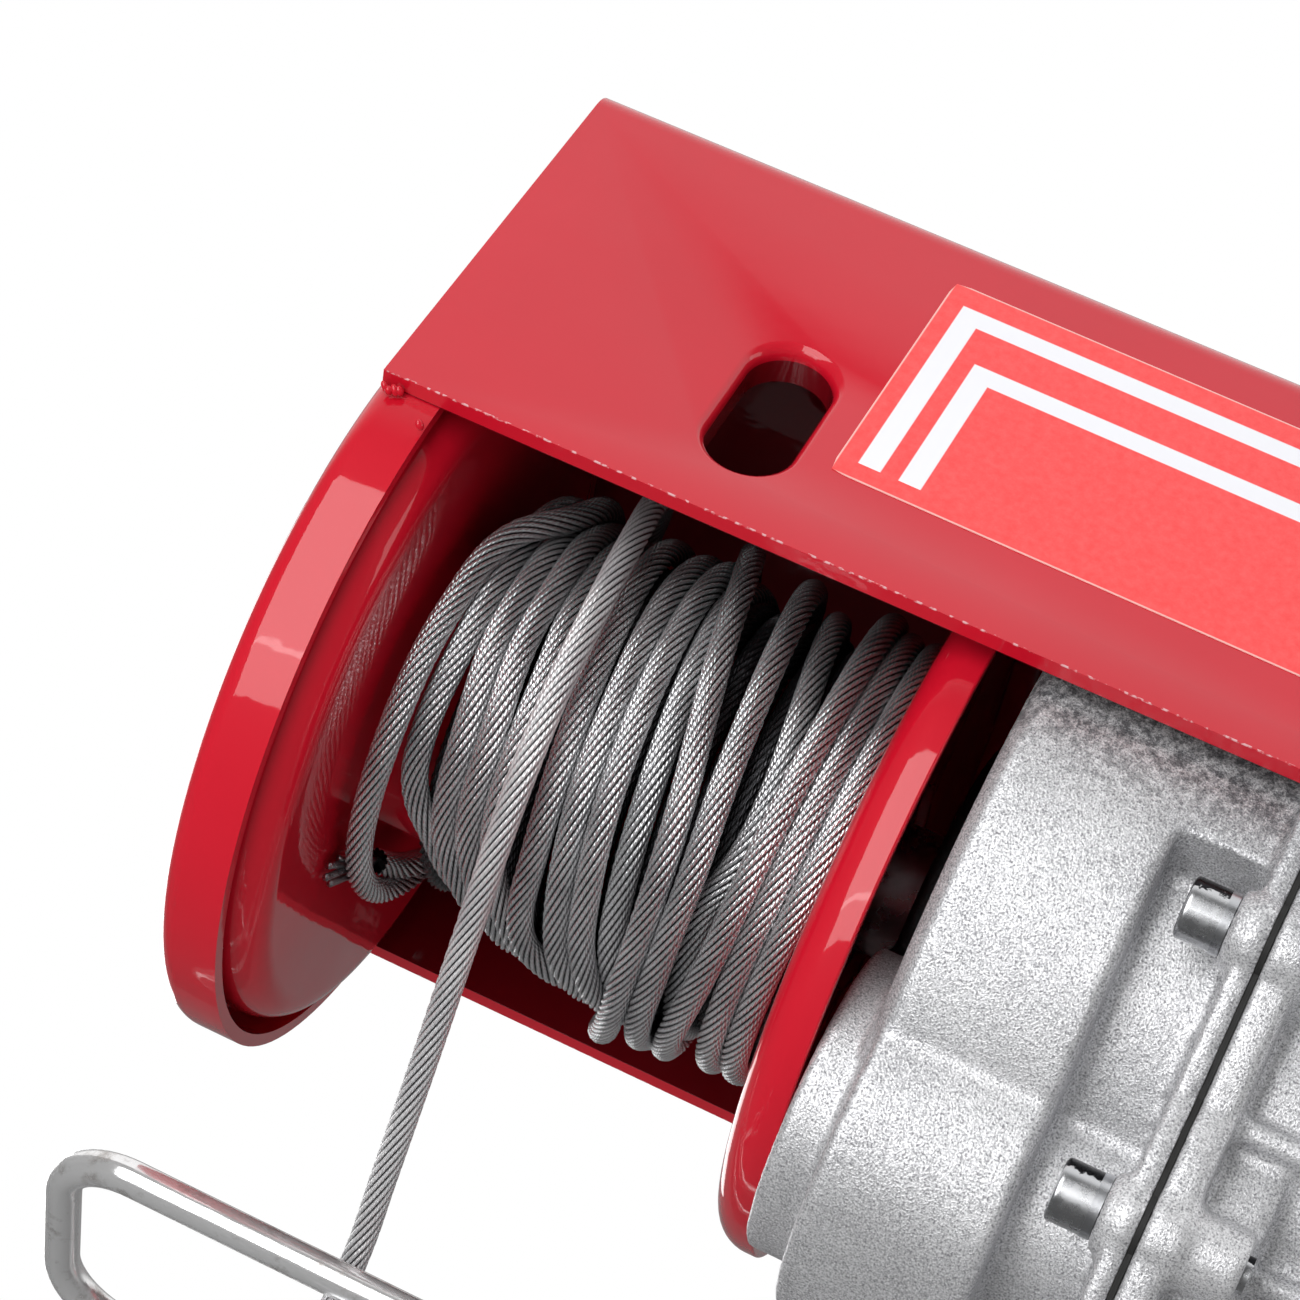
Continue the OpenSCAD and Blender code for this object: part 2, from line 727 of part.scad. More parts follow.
// A straight round rod between two points
module rod(a, b, r) {
    d = b - a;
    translate(a) rotate([0, atan2(norm([d[0], d[1]]), d[2]), atan2(d[1], d[0])])
        cylinder(r = r, h = norm(d), $fn = 24);
}

module rope_tail() {
    color(ROPE) placed()
        translate([fall_x + tail_dx, fall_y, ferrule_top]) cylinder(r = rope_r, h = tail_len);
}

// A pressed oval sleeve over the two runs of rope
module rope_ferrule() {
    color(CAST) placed() difference() {
        translate([eye_mid_x, fall_y, ferrule_bottom]) linear_extrude(ferrule_len) {
            square([tail_dx, 2 * (rope_r + ferrule_wall)], center = true);
            for (side = [-1, 1]) translate([side * tail_dx / 2, 0]) circle(rope_r + ferrule_wall);
        }
        for (side = [-1, 1]) translate([eye_mid_x + side * tail_dx / 2, fall_y, ferrule_bottom - 1])
            cylinder(r = rope_r, h = ferrule_len + 2);
    }
}

// A grooved ring that the rope's eye lies in
module thimble() {
    color(BRIGHT) placed() translate([eye_mid_x, fall_y, eye_z]) rotate([90, 0, 0]) rotate_extrude()
        difference() {
            intersection() {
                translate([thimble_in_r + thimble_w / 2, 0]) circle(thimble_w / 2);
                translate([0, -thimble_w]) square([thimble_r + 1.6, 2 * thimble_w]);
            }
            translate([eye_rope_r + 0.4, 0]) circle(rope_r + 0.45);
        }
}

// ---------------------------------------------------------------- hook

module hook() {
    color(STEEL) placed() translate([eye_mid_x, fall_y, 0]) {
        // eye ring, across the thimble
        translate([0, 0, hook_eye_z]) rotate([0, 90, 0]) rotate_extrude()
            translate([hook_eye_d / 2 + hook_eye_t / 2, 0]) circle(hook_eye_t / 2);
        difference() {
            union() {
                translate([0, 0, hook_neck_z - 12]) cylinder(r1 = hook_t / 2 + 1, r2 = hook_t / 2, h = 16);
                // back of the hook, bowl and tip
                translate([0, 0, bowl_z]) rotate([90, 0, 90]) rotate([0, 0, 90]) rotate_extrude(angle = 232)
                    translate([bowl_r + hook_t / 2, 0]) circle(hook_t / 2);
                tip = bowl_r + hook_t / 2;
                translate([0, tip * cos(-38), bowl_z + tip * sin(-38)]) {
                    rotate([-10, 0, 0]) cylinder(r1 = hook_t / 2, r2 = 2.6, h = 13);
                    sphere(hook_t / 2 + 0.7);
                }
            }
            // seat of the latch and its pin
            span([-2, 0.8, latch_z - 12], [2, 8, latch_z + 4]);
            translate([-10, 4.2, latch_z]) rotate([0, 90, 0]) cylinder(r = latch_pin_r, h = 20);
        }
        // lugs that carry the latch pin
        for (side = [-1, 1]) difference() {
            translate([side * 4 - 1.2, 4.2, latch_z]) rotate([0, 90, 0]) cylinder(r = 3.4, h = 2.4);
            translate([-10, 4.2, latch_z]) rotate([0, 90, 0]) cylinder(r = latch_pin_r, h = 20);
        }
    }
}

module latch_pin() {
    color(BRIGHT) placed() translate([eye_mid_x - 6, fall_y + 4.2, latch_z]) rotate([0, 90, 0]) {
        cylinder(r = latch_pin_r, h = 12);
        for (z = [-0.8, 12]) translate([0, 0, z]) cylinder(r = 2.4, h = 0.8);
    }
}

// A bent sheet latch that closes the hook's mouth against its tip
module hook_latch() {
    color(BRIGHT) placed() translate([eye_mid_x, fall_y + 4.2, latch_z]) difference() {
        union() {
            rotate([0, 90, 0]) translate([0, 0, -1.7]) cylinder(r = 3, h = 3.4);
            rotate([latch_angle, 0, 0]) span([-1.7, 0, -1], [1.7, latch_len, 1]);
        }
        translate([-5, 0, 0]) rotate([0, 90, 0]) cylinder(r = latch_pin_r + run_fit, h = 10);
    }
}

// Coiled leg of the latch's torsion spring, outside one lug
module latch_spring() {
    color(BRIGHT) placed() translate([eye_mid_x - 5.9, fall_y + 4.2, latch_z]) rotate([0, 90, 0])
        difference() {
            cylinder(r = 2.3, h = 0.6);
            translate([0, 0, -1]) cylinder(r = 1.6, h = 3);
        }
}

// ---------------------------------------------------------------- limit lever

module lever_leg(y) {
    xcyl(lever_x0 + lever_bend, pivot_x - pivot_eye_r + 1, lever_r, y, lever_z);
    difference() {
        ycyl(y - lever_r, y + lever_r, pivot_eye_r, pivot_x, lever_z);
        ycyl(y - lever_r - 1, y + lever_r + 1, pivot_r + run_fit, pivot_x, lever_z);
    }
}

module limit_lever() {
    color(BRIGHT) placed() {
        for (y = [lever_y0, lever_y1]) lever_leg(y);
        for (corner = [[lever_y0 + lever_bend, 180], [lever_y1 - lever_bend, 90]])
            translate([lever_x0 + lever_bend, corner[0], lever_z]) rotate([0, 0, corner[1]])
                rotate_extrude(angle = 90) translate([lever_bend, 0]) circle(lever_r);
        ycyl(lever_y0 + lever_bend - touch, lever_y1 - lever_bend + touch, lever_r, lever_x0, lever_z);
        span([tab_x - tab_w / 2, lever_y0 - 1, tab_top - tab_t - 0.4],
            [tab_x + tab_w / 2, lever_y1 + 1, tab_top]);
    }
}

module lever_pivot_pin() {
    color(BRIGHT) placed() {
        ycyl(lever_y0 - lever_r - 1, lever_y1 + lever_r + 1, pivot_r, pivot_x, lever_z);
        for (y = [lever_y0 - lever_r - 3, lever_y1 + lever_r + 1]) ycyl(y, y + 2, 5, pivot_x, lever_z);
    }
}

module lever_bracket() {
    color(BRIGHT) placed() difference() {
        union() {
            span([bracket_x0, bracket_y0, switch_floor + switch_h],
                [bracket_x1, bracket_y1, bracket_bolt_z + 10]);
            span([switch_x0, bracket_y0, switch_floor], [bracket_x1, bracket_y1, switch_floor + switch_h]);
            span([pivot_x - 6, bracket_y0, lever_z], [bracket_x1, bracket_y1, switch_floor]);
            ycyl(lever_y0 + lever_r + free_gap, lever_y1 - lever_r - free_gap, pivot_eye_r, pivot_x, lever_z);
        }
        ycyl(0, 100, pivot_r + run_fit, pivot_x, lever_z);
        for (x = BRACKET_BOLTS) ycyl(0, 100, m5_hole_r, x, bracket_bolt_z);
    }
}

module lever_bracket_bolts() {
    color(BRIGHT) placed() for (x = BRACKET_BOLTS) {
        ycyl(bracket_y0 - m5_nut_t - 0.5, half_out, m5_r, x, bracket_bolt_z);
        translate([x, half_out, bracket_bolt_z]) rotate([-90, 0, 0])
            cylinder(r = m5_hex_r, h = 3.5, $fn = 6);
        translate([x, bracket_y0 - m5_nut_t, bracket_bolt_z]) rotate([-90, 0, 0])
            cylinder(r = m5_hex_r, h = m5_nut_t, $fn = 6);
    }
}

module limit_switch_box() {
    color(BLACK) placed() difference() {
        span([switch_x0, switch_y - 8, switch_floor], [switch_x1, bracket_y0, switch_floor + switch_h]);
        span([switch_x0 + 2, switch_y - 6, switch_floor + 2],
            [switch_x1 - 2, bracket_y0 - 2, switch_floor + switch_h - 2]);
        translate([tab_x, switch_y, switch_floor - 1]) cylinder(r = 2.5 + run_fit, h = 4);
    }
}

module switch_plunger() {
    color("#e8e4d8") placed() translate([tab_x, switch_y, tab_top + free_gap]) {
        cylinder(r = 2.5, h = 7);
        translate([0, 0, switch_floor + 2 - tab_top]) cylinder(r = 4, h = 2);
    }
}

// ---------------------------------------------------------------- gearbox

// Both halves share this joint face: [across, up]
module joint_outline(grow = 0) {
    circle(flange_big_r + grow);
    translate([mid_y, mid_z]) circle(lobe_flange_r + grow);
    for (s = SCREWS) translate(s) circle(lug_r + grow);
}

module lower_notch() {
    // the casting stays inside the channel's walls above their lower edge
    for (side = [-1, 1]) mirror([0, side > 0 ? 1 : 0, 0])
        span([0, half_in - 0.5, -wall_drop - 1.5], [400, half_out + 20, axis_to_top]);
}

module gear_housing_left() {
    flange_x = joint_x - flange_t;
    color(CAST) placed() difference() {
        union() {
            difference() {
                xspin() polygon([[0, housing_x], [housing_r - 2, housing_x], [housing_r, housing_x + 2],
                    [housing_r, flange_x], [0, flange_x]]);
                // pocket under the joint flange, round the lower side
                intersection() {
                    xring(shoulder_x, flange_x + 1, housing_r + 10, neck_r);
                    span([0, -200, -200], [300, 200, neck_top_z]);
                }
            }
            xcyl(boss_x + 1, housing_x + 1, 26);
            // lobe and bearing boss of the intermediate shaft
            xcyl(boss_x, lobe_x + 1, boss_r, mid_y, mid_z);
            xcyl(lobe_x, shoulder_x, lobe_r, mid_y, mid_z);
            xcyl(lobe_x, flange_x + 1, lobe_neck_r, mid_y, mid_z);
            along_x(flange_x, flange_t) joint_outline();
            for (s = SCREWS) xcyl(flange_x - screw_boss, joint_x - 1, screw_head_r + 1, s[0], s[1]);
            // upper pads that bolt to the channel's web
            for (p = PADS) translate([p[0], p[1], 40]) cylinder(r = pad_r, h = web_z - 40);
        }
        lower_notch();
        xcyl(housing_x + housing_wall, joint_x + 1, left_cavity_r);
        xcyl(lobe_x + 3, shoulder_x - housing_wall + 1, lobe_r - housing_wall + 1, mid_y, mid_z);
        xcyl(lobe_x + 3, joint_x + 1, lobe_neck_r - housing_wall + 1, mid_y, mid_z);
        // bearing and seal seats
        xcyl(housing_x + 2, housing_x + 20, b6004[1]);
        xcyl(boss_x - 1, housing_x + 3, b6004[1] - 4);
        xcyl(boss_x + 4, lobe_x + 10, b6201[1], mid_y, mid_z);
        for (s = SCREWS) xcyl(flange_x - 10, joint_x + 1, screw_r + 0.25, s[0], s[1]);
        for (s = SCREWS) xcyl(shoulder_x, flange_x - screw_boss, screw_head_r + 1.2, s[0], s[1]);
        for (p = PADS) translate([p[0], p[1], web_z - 16]) cylinder(r = frame_bolt_r, h = 20);
    }
}

module gear_gasket() {
    color(BLACK) placed() difference() {
        along_x(joint_x, gasket_t) difference() {
            joint_outline(-0.6);
            circle(left_cavity_r);
            translate([mid_y, mid_z]) circle(first_cavity_r);
            for (s = SCREWS) translate(s) circle(screw_r + 0.25);
        }
        lower_notch();
    }
}

module gear_housing_right() {
    inside_flange = right_x + right_flange_t / 2;
    color(CAST) placed() difference() {
        union() {
            along_x(right_x, right_flange_t) joint_outline();
            at_motor() {
                xcyl(inside_flange, motor_x, motor_r - 3);
                xcyl(motor_x - 8, motor_x, motor_r + 1);
                // ribs from the joint flange to the motor flange
                for (a = RIBS) rotate([a, 0, 0])
                    span([inside_flange, motor_r - 5, -1.5], [motor_x - 1, motor_r + 0.5, 1.5]);
                xcyl(right_wall_x, first_bearing_x + b6202[2] + 1, b6202[1] + 4);
            }
            xcyl(inside_flange, first_x + first_w + 4, first_lobe_r, mid_y, mid_z);
            for (s = SCREWS) xcyl(inside_flange, right_x + 13, screw_head_r + 1, s[0], s[1]);
            xcyl(right_wall_x - 4, second_bearing_x + b6201[2] + 3, b6201[1] + 4, mid_y, mid_z);
        }
        lower_notch();
        difference() {
            at_motor() xcyl(right_x - 1, right_wall_x, motor_r - 8);
            xcyl(first_x + first_w + 1, right_wall_x + 1, b6201[1] + 4, mid_y, mid_z);
        }
        at_motor() xcyl(right_wall_x - 1, first_bearing_x, b6202[0] + 3);
        at_motor() xcyl(first_bearing_x, first_bearing_x + b6202[2] + 2, b6202[1]);
        xcyl(right_x - 1, first_x + first_w + 1, first_cavity_r, mid_y, mid_z);
        xcyl(right_x, second_bearing_x + b6201[2], b6201[1], mid_y, mid_z);
        for (s = SCREWS) xcyl(right_x - 1, right_x + 11, screw_r, s[0], s[1]);
    }
}

module housing_screws() {
    color(BRIGHT) placed() for (s = SCREWS) {
        top = joint_x - flange_t - screw_boss - washer_t;
        xcyl(top - 0.5, right_x + 10, screw_r, s[0], s[1]);
        difference() {
            xcyl(top - 5, top, screw_head_r, s[0], s[1]);
            translate([top - 6, s[0], s[1]]) rotate([0, 90, 0]) cylinder(r = 2.3, h = 3.8, $fn = 6);
        }
    }
}

module spring_washers() {
    color(BRIGHT) placed() for (s = SCREWS) difference() {
        x1 = joint_x - flange_t - screw_boss;
        xring(x1 - washer_t, x1, screw_head_r + 0.1, screw_r + 0.2, s[0], s[1]);
        translate([x1, s[0], s[1]]) rotate([20, 0, 0]) span([-5, -0.3, 0], [5, 0.3, 8]);
    }
}

// Inner plate that carries the output shaft's second bearing
module bearing_plate() {
    color(CAST) placed() difference() {
        union() {
            xcyl(plate_x, plate_x + 6, left_cavity_r - free_gap);
            xcyl(plate_x, output_end_x, b6003[1] + 4);
        }
        xcyl(plate_x, output_end_x + 1, b6003[1]);
        xcyl(plate_x - 1, output_end_x + 1, b6003[1] - 3);
        xcyl(plate_x - 1, plate_x + 7, 14, mid_y, mid_z);
    }
}

module output_shaft() {
    color(BRIGHT) placed() difference() {
        union() {
            xcyl(right_face_x - hub_len - 4, plate_x - 1, shaft_r);
            xcyl(plate_x - 2, output_end_x - 0.5, b6003[0]);
        }
        span([0, -key_w / 2, shaft_r - 3.5], [right_face_x, key_w / 2, shaft_r + 2]);
    }
}

module output_gear() {
    color(STEEL) placed() difference() {
        translate([final_x, 0, 0]) rotate([90, 0, 90]) linear_extrude(final_w)
            rotate(mid_angle) gear_outline(final_module, final_gear_t);
        xcyl(final_x - 1, final_x + final_w + 1, shaft_r);
        for (x = [final_x - 1, final_x + final_w - 3])
            xring(x, x + 4, final_gear_t * final_module / 2 - 6, shaft_r + 5);
    }
}

module output_bearings() {
    color(BRIGHT) placed() {
        bearing(housing_x + 2, b6004);
        bearing(plate_x + 0, b6003);
    }
}

module oil_seal() {
    color(BLACK) placed() xring(boss_x + 1, housing_x + 1.5, b6004[1] - 4, shaft_r + run_fit);
}

module intermediate_shaft() {
    color(BRIGHT) placed() {
        xcyl(boss_x + 4, second_bearing_x + b6201[2] - 0.5, b6201[0], mid_y, mid_z);
        xcyl(boss_x + 4.5 + b6201[2], first_x + first_w + 1.5, b6201[0] + 1.4, mid_y, mid_z);
        translate([final_x - 1, mid_y, mid_z]) rotate([90, 0, 90]) linear_extrude(final_w + 2)
            rotate(mid_angle + 180 + 180 / final_pinion_t) gear_outline(final_module, final_pinion_t);
    }
}

module intermediate_gear() {
    color(STEEL) placed() difference() {
        translate([first_x, mid_y, mid_z]) rotate([90, 0, 90]) linear_extrude(first_w)
            rotate(mid_angle + 180) gear_outline(first_module, first_gear_t, 0.18);
        xcyl(first_x - 1, first_x + first_w + 1, b6201[0] + 1.4, mid_y, mid_z);
        for (x = [first_x - 1, first_x + first_w - 2])
            xring(x, x + 3, first_gear_t * first_module / 2 - 5, b6201[0] + 6, mid_y, mid_z);
    }
}

module intermediate_bearings() {
    color(BRIGHT) placed() {
        bearing(boss_x + 4, b6201, mid_y, mid_z);
        bearing(second_bearing_x, b6201, mid_y, mid_z);
    }
}

// ---------------------------------------------------------------- motor

// Moves the drum's axis to the motor's axis
module at_motor() {
    translate([0, motor_y, motor_z]) children();
}

module motor_shaft() {
    color(BRIGHT) placed() at_motor() {
        translate([first_x - 1, 0, 0]) rotate([90, 0, 90]) linear_extrude(first_w + 2)
            rotate(mid_angle + 180 / motor_pinion_t) gear_outline(first_module, motor_pinion_t, 0.1);
        xcyl(first_x + first_w + 0.5, first_bearing_x + 1, 6.6);
        xcyl(first_bearing_x, last_bearing_x + b6202[2], b6202[0]);
        xcyl(last_bearing_x + b6202[2] - 1, fan_x + 12, 6);
    }
}

module motor_bearings() {
    color(BRIGHT) placed() at_motor() {
        bearing(first_bearing_x, b6202);
        bearing(last_bearing_x, b6202);
    }
}

module rotor_core() {
    color(STEEL) placed() at_motor() difference() {
        union() {
            xcyl(stack_x, stack_x + stack_len, rotor_r);
            for (x = [stack_x - 5, stack_x + stack_len - touch])
                xring(x, x + 5 + touch, rotor_r - 2, rotor_r - 10);
        }
        xcyl(stack_x - 6, stack_x + stack_len + 6, b6202[0]);
    }
}

module stator_core() {
    color(STEEL) placed() at_motor() xring(stack_x, stack_x + stack_len, motor_in_r, rotor_r + air_gap);
}

module stator_windings() {
    color(COPPER) placed() at_motor() for (x = [stack_x - coil_len, stack_x + stack_len])
        translate([x, 0, 0]) xspin() translate([rotor_r + 4, 0]) square([motor_in_r - rotor_r - 8, coil_len]);
}

module motor_shell() {
    color(CAST) placed() at_motor() difference() {
        union() {
            xcyl(motor_x, motor_end_x, motor_r);
            for (i = [0:fins - 1]) rotate([i * 360 / fins, 0, 0])
                span([motor_x + 3, motor_r - 1, -1], [motor_end_x - 3, motor_r + fin_h, 1]);
        }
        xcyl(motor_x - 1, motor_end_x + 1, motor_in_r);
    }
}

module motor_end_shield() {
    color(CAST) placed() difference() {
        union() {
            at_motor() {
                xcyl(motor_end_x, shield_x1, motor_r);
                xcyl(motor_end_x - 6, motor_end_x + 1, motor_in_r - run_fit);
            }
            for (p = SHIELD_BOLTS) translate([p[0], p[1], motor_z + 36])
                cylinder(r = pad_r, h = web_z - motor_z - 36);
        }
        at_motor() {
            xcyl(motor_end_x - 7, last_bearing_x - 1, motor_in_r - 6);
            xcyl(last_bearing_x - 2, last_bearing_x + b6202[2], b6202[1]);
            xcyl(motor_end_x - 7, shield_x1 + 1, b6202[0] + 4);
        }
        for (p = SHIELD_BOLTS) translate([p[0], p[1], web_z - 16]) cylinder(r = frame_bolt_r, h = 20);
    }
}

module brake_magnet() {
    color(STEEL) placed() at_motor() difference() {
        xcyl(shield_x1, brake_x + 8, brake_r);
        xcyl(shield_x1 - 1, brake_x + 9, 11);
    }
}

module brake_armature() {
    color(BRIGHT) placed() at_motor() xring(armature_x, armature_x + 2.8, brake_r, 11);
}

module brake_disc() {
    color(BLACK) placed() at_motor() difference() {
        union() {
            xcyl(disc_x, disc_x + 3.5, brake_r - 1);
            xcyl(disc_x, disc_x + 7, 10);
        }
        xcyl(disc_x - 1, disc_x + 8, 6);
    }
}

module cooling_fan() {
    color(BLACK) placed() at_motor() difference() {
        union() {
            xcyl(fan_x, fan_x + 12, 11);
            xcyl(fan_x, fan_x + 2, fan_r);
            for (i = [0:7]) rotate([i * 45, 0, 0]) span([fan_x, 8, -0.8], [fan_x + 12, fan_r, 0.8]);
        }
        xcyl(fan_x - 1, fan_x + 13, 6);
    }
}

module fan_cover() {
    color(BLACK) placed() at_motor() difference() {
        translate([cover_x1, 0, 0]) mirror([1, 0, 0])
            xspin() pan_section(motor_r, 0, cover_x1 - shield_x1, 5, 1.8);
        for (r = [12:8:44], i = [0:round(r * 0.75) - 1])
            rotate([i * 360 / round(r * 0.75), 0, 0]) xcyl(cover_x1 - 3, cover_x1 + 1, 2.6, r, 0);
        xcyl(cover_x1 - 3, cover_x1 + 1, 2.6);
    }
}

module frame_bolts() {
    color(BRIGHT) placed() for (p = FRAME_BOLTS) translate([p[0], p[1], 0]) {
        translate([0, 0, axis_to_top - 16]) cylinder(r = frame_bolt_r, h = 17);
        translate([0, 0, axis_to_top]) cylinder(r = 8, h = 1.4);
        translate([0, 0, axis_to_top + 1.4]) cylinder(r = 7.2, h = 5, $fn = 6);
    }
}

// ---------------------------------------------------------------- terminal box

module terminal_box() {
    color(BLACK) placed() difference() {
        union() {
            span([box_x, box_y0, box_z], [box_x + box_len, box_y1 - 4, box_z + box_h]);
            for (x = GLANDS) translate([x, (box_y0 + box_y1) / 2, box_z - 14]) {
                cylinder(r = gland_r - 1.5, h = 15);
                translate([0, 0, 3]) cylinder(r = gland_r + 1, h = 8, $fn = 6);
            }
        }
        span([box_x + box_wall, box_y0 + box_wall, box_z + box_wall],
            [box_x + box_len - box_wall, box_y1, box_z + box_h - box_wall]);
        for (x = GLANDS) translate([x, (box_y0 + box_y1) / 2, box_z - 20]) cylinder(r = 4, h = 30);
        ycyl(box_y0 - 1, box_y0 + box_wall + 1, 5, box_x + 30, box_z + 30);
    }
}

module terminal_box_lid() {
    color(BLACK) placed() difference() {
        span([box_x - 1, box_y1 - 4, box_z - 1], [box_x + box_len + 1, box_y1, box_z + box_h + 1]);
        span([box_x + 1, box_y1 - 5, box_z + 1], [box_x + box_len - 1, box_y1 - 2, box_z + box_h - 1]);
    }
}

module run_capacitor() {
    y = box_y0 + box_wall + cap_r + free_gap;
    z = box_z + box_h - box_wall - cap_r - free_gap;
    color("#d8d8d2") placed() {
        xcyl(box_x + 8, box_x + box_len - 10, cap_r, y, z);
        for (dy = [-5, 5]) xcyl(box_x + 3.5, box_x + 9, 1.2, y + dy, z);
    }
}

channel_frame();
label_plate();
end_pan();
end_bearing_housing();
end_bearing();
end_housing_screws();
drum_barrel();
drum_left_flange();
drum_right_flange();
drum_left_hub();
drum_drive_hub();
drum_stub_shaft();
drum_key();
rope_clamp();
winding_core();
rope_winding();
rope_fall();
rope_eye();
rope_tail();
rope_ferrule();
thimble();
hook();
latch_pin();
hook_latch();
latch_spring();
limit_lever();
lever_pivot_pin();
lever_bracket();
lever_bracket_bolts();
limit_switch_box();
switch_plunger();
gear_housing_left();
gear_housing_right();
gear_gasket();
housing_screws();
spring_washers();
bearing_plate();
output_shaft();
output_gear();
output_bearings();
oil_seal();
intermediate_shaft();
intermediate_gear();
intermediate_bearings();
motor_shaft();
motor_bearings();
rotor_core();
stator_core();
stator_windings();
motor_shell();
motor_end_shield();
brake_magnet();
brake_armature();
brake_disc();
cooling_fan();
fan_cover();
frame_bolts();
terminal_box();
terminal_box_lid();
run_capacitor();
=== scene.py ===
"""Looks of the small wire rope hoist: red folded channel, rope drum, cast gearbox, lever and hook."""
import json
import math

import bmesh
import bpy
import numpy as np
from mathutils import Matrix, Vector


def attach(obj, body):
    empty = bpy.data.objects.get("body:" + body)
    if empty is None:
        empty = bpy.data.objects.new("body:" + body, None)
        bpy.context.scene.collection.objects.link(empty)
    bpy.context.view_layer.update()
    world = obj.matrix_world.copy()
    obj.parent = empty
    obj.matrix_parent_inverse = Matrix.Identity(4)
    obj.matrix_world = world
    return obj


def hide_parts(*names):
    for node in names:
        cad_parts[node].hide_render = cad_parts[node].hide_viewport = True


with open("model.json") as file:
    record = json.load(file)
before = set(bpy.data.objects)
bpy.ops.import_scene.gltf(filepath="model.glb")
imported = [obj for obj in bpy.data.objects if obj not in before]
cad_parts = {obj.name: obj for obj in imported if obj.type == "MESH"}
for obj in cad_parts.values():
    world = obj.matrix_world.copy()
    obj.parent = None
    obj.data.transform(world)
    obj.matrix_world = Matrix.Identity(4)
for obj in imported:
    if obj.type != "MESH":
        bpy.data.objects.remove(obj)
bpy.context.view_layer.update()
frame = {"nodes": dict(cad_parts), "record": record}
NODES = frame["nodes"]
BODY = {n: b for b, names in frame["record"]["behaviour"]["bodies"].items() for n in names}
SLOTS = {}

MM = 0.001
AXIS = np.array([-135.0, 0.0, -66.5])  # the drum axis frame, from the hanging bolts, mm


def place(points):
    """Drum axis frame in millimetres to the part's own frame in metres."""
    return (np.asarray(points, float) + AXIS) * MM


def stand(name, data):
    """A new object in the scene that carries a mesh, a lamp or the camera."""
    thing = bpy.data.objects.new(name, data)
    bpy.context.scene.collection.objects.link(thing)
    return thing


# ---------------------------------------------------------------- camera

# Where it stands, in metres, and what it calls right, down and ahead, in the part's frame
CAMERA_AT = (0.0160, -0.4208, -0.4098)
CAMERA_RIGHT = (0.89483, -0.12926, 0.42728)
CAMERA_DOWN = (0.39891, 0.66115, -0.63541)
CAMERA_AHEAD = (-0.20037, 0.73903, 0.64318)
LENS, SENSOR_W = 105.06, 36   # mm

camera_data = bpy.data.cameras.new("camera")
camera_data.lens = LENS
camera_data.sensor_width = SENSOR_W
camera_data.clip_start = 0.01
camera = stand("camera", camera_data)
turn = Matrix((CAMERA_RIGHT, [-v for v in CAMERA_DOWN], [-v for v in CAMERA_AHEAD])).transposed()
camera.matrix_world = Matrix.Translation(CAMERA_AT) @ turn.to_4x4()
bpy.context.scene.camera = camera


# ---------------------------------------------------------------- node and colour helpers

def linear(code):
    """sRGB hex to linear RGBA."""
    c = [int(code[i:i + 2], 16) / 255 for i in (1, 3, 5)]
    return tuple(v / 12.92 if v <= 0.04045 else ((v + 0.055) / 1.055) ** 2.4 for v in c) + (1.0,)


def add(tree, kind, inputs=None, out=0, **settings):
    """Adds a node: settings, then inputs, each a value or another node's output,
    or a list of outputs for a socket that takes many. Gives one of the node's outputs."""
    node = tree.nodes.new(kind)
    for key, value in settings.items():
        setattr(node, key, value)
    for key, value in (inputs or {}).items():
        for one in value if isinstance(value, list) else [value]:
            if isinstance(one, bpy.types.NodeSocket):
                tree.links.new(one, node.inputs[key])
            else:
                node.inputs[key].default_value = one
    return node.outputs[out] if len(node.outputs) else node


NOISE, MAP, MIX = "ShaderNodeTexNoise", "ShaderNodeMapRange", "ShaderNodeMix"
MATH, BUMP = "ShaderNodeMath", "ShaderNodeBump"
JOINED, SPLIT = "ShaderNodeCombineXYZ", "ShaderNodeSeparateXYZ"
CHANCE, COPIES = "FunctionNodeRandomValue", "GeometryNodeInstanceOnPoints"
MINUS, TIMES, DIVIDED = {"operation": "SUBTRACT"}, {"operation": "MULTIPLY"}, {"operation": "DIVIDE"}
COLOURS = {"out": 2, "data_type": "RGBA"}   # settings of a mix of two colours, and where it comes out


def new_material(name, slot):
    """A material, its tree, its shader's inputs and its object coordinates."""
    m = bpy.data.materials.new(name)
    m.use_nodes = True
    SLOTS[m.name] = slot
    tree = m.node_tree
    return m, tree, tree.nodes["Principled BSDF"].inputs, add(tree, "ShaderNodeTexCoord", out="Object")


def finish(tree, shader, values=None, **linked):
    """Sets the shader's plain values and links the rest."""
    for key, value in (values or {}).items():
        shader[key].default_value = value
    for key, output in linked.items():
        tree.links.new(output, shader[key.replace("_", " ").title()])


# ---------------------------------------------------------------- materials

INSIDE_Y, INSIDE_Z = 60.1, -1.2   # the channel's inner faces lie within these, part frame, mm
EDGE_Y, EDGE_Z = 62.34, -71.25    # the walls' lower outer edge lies beyond these


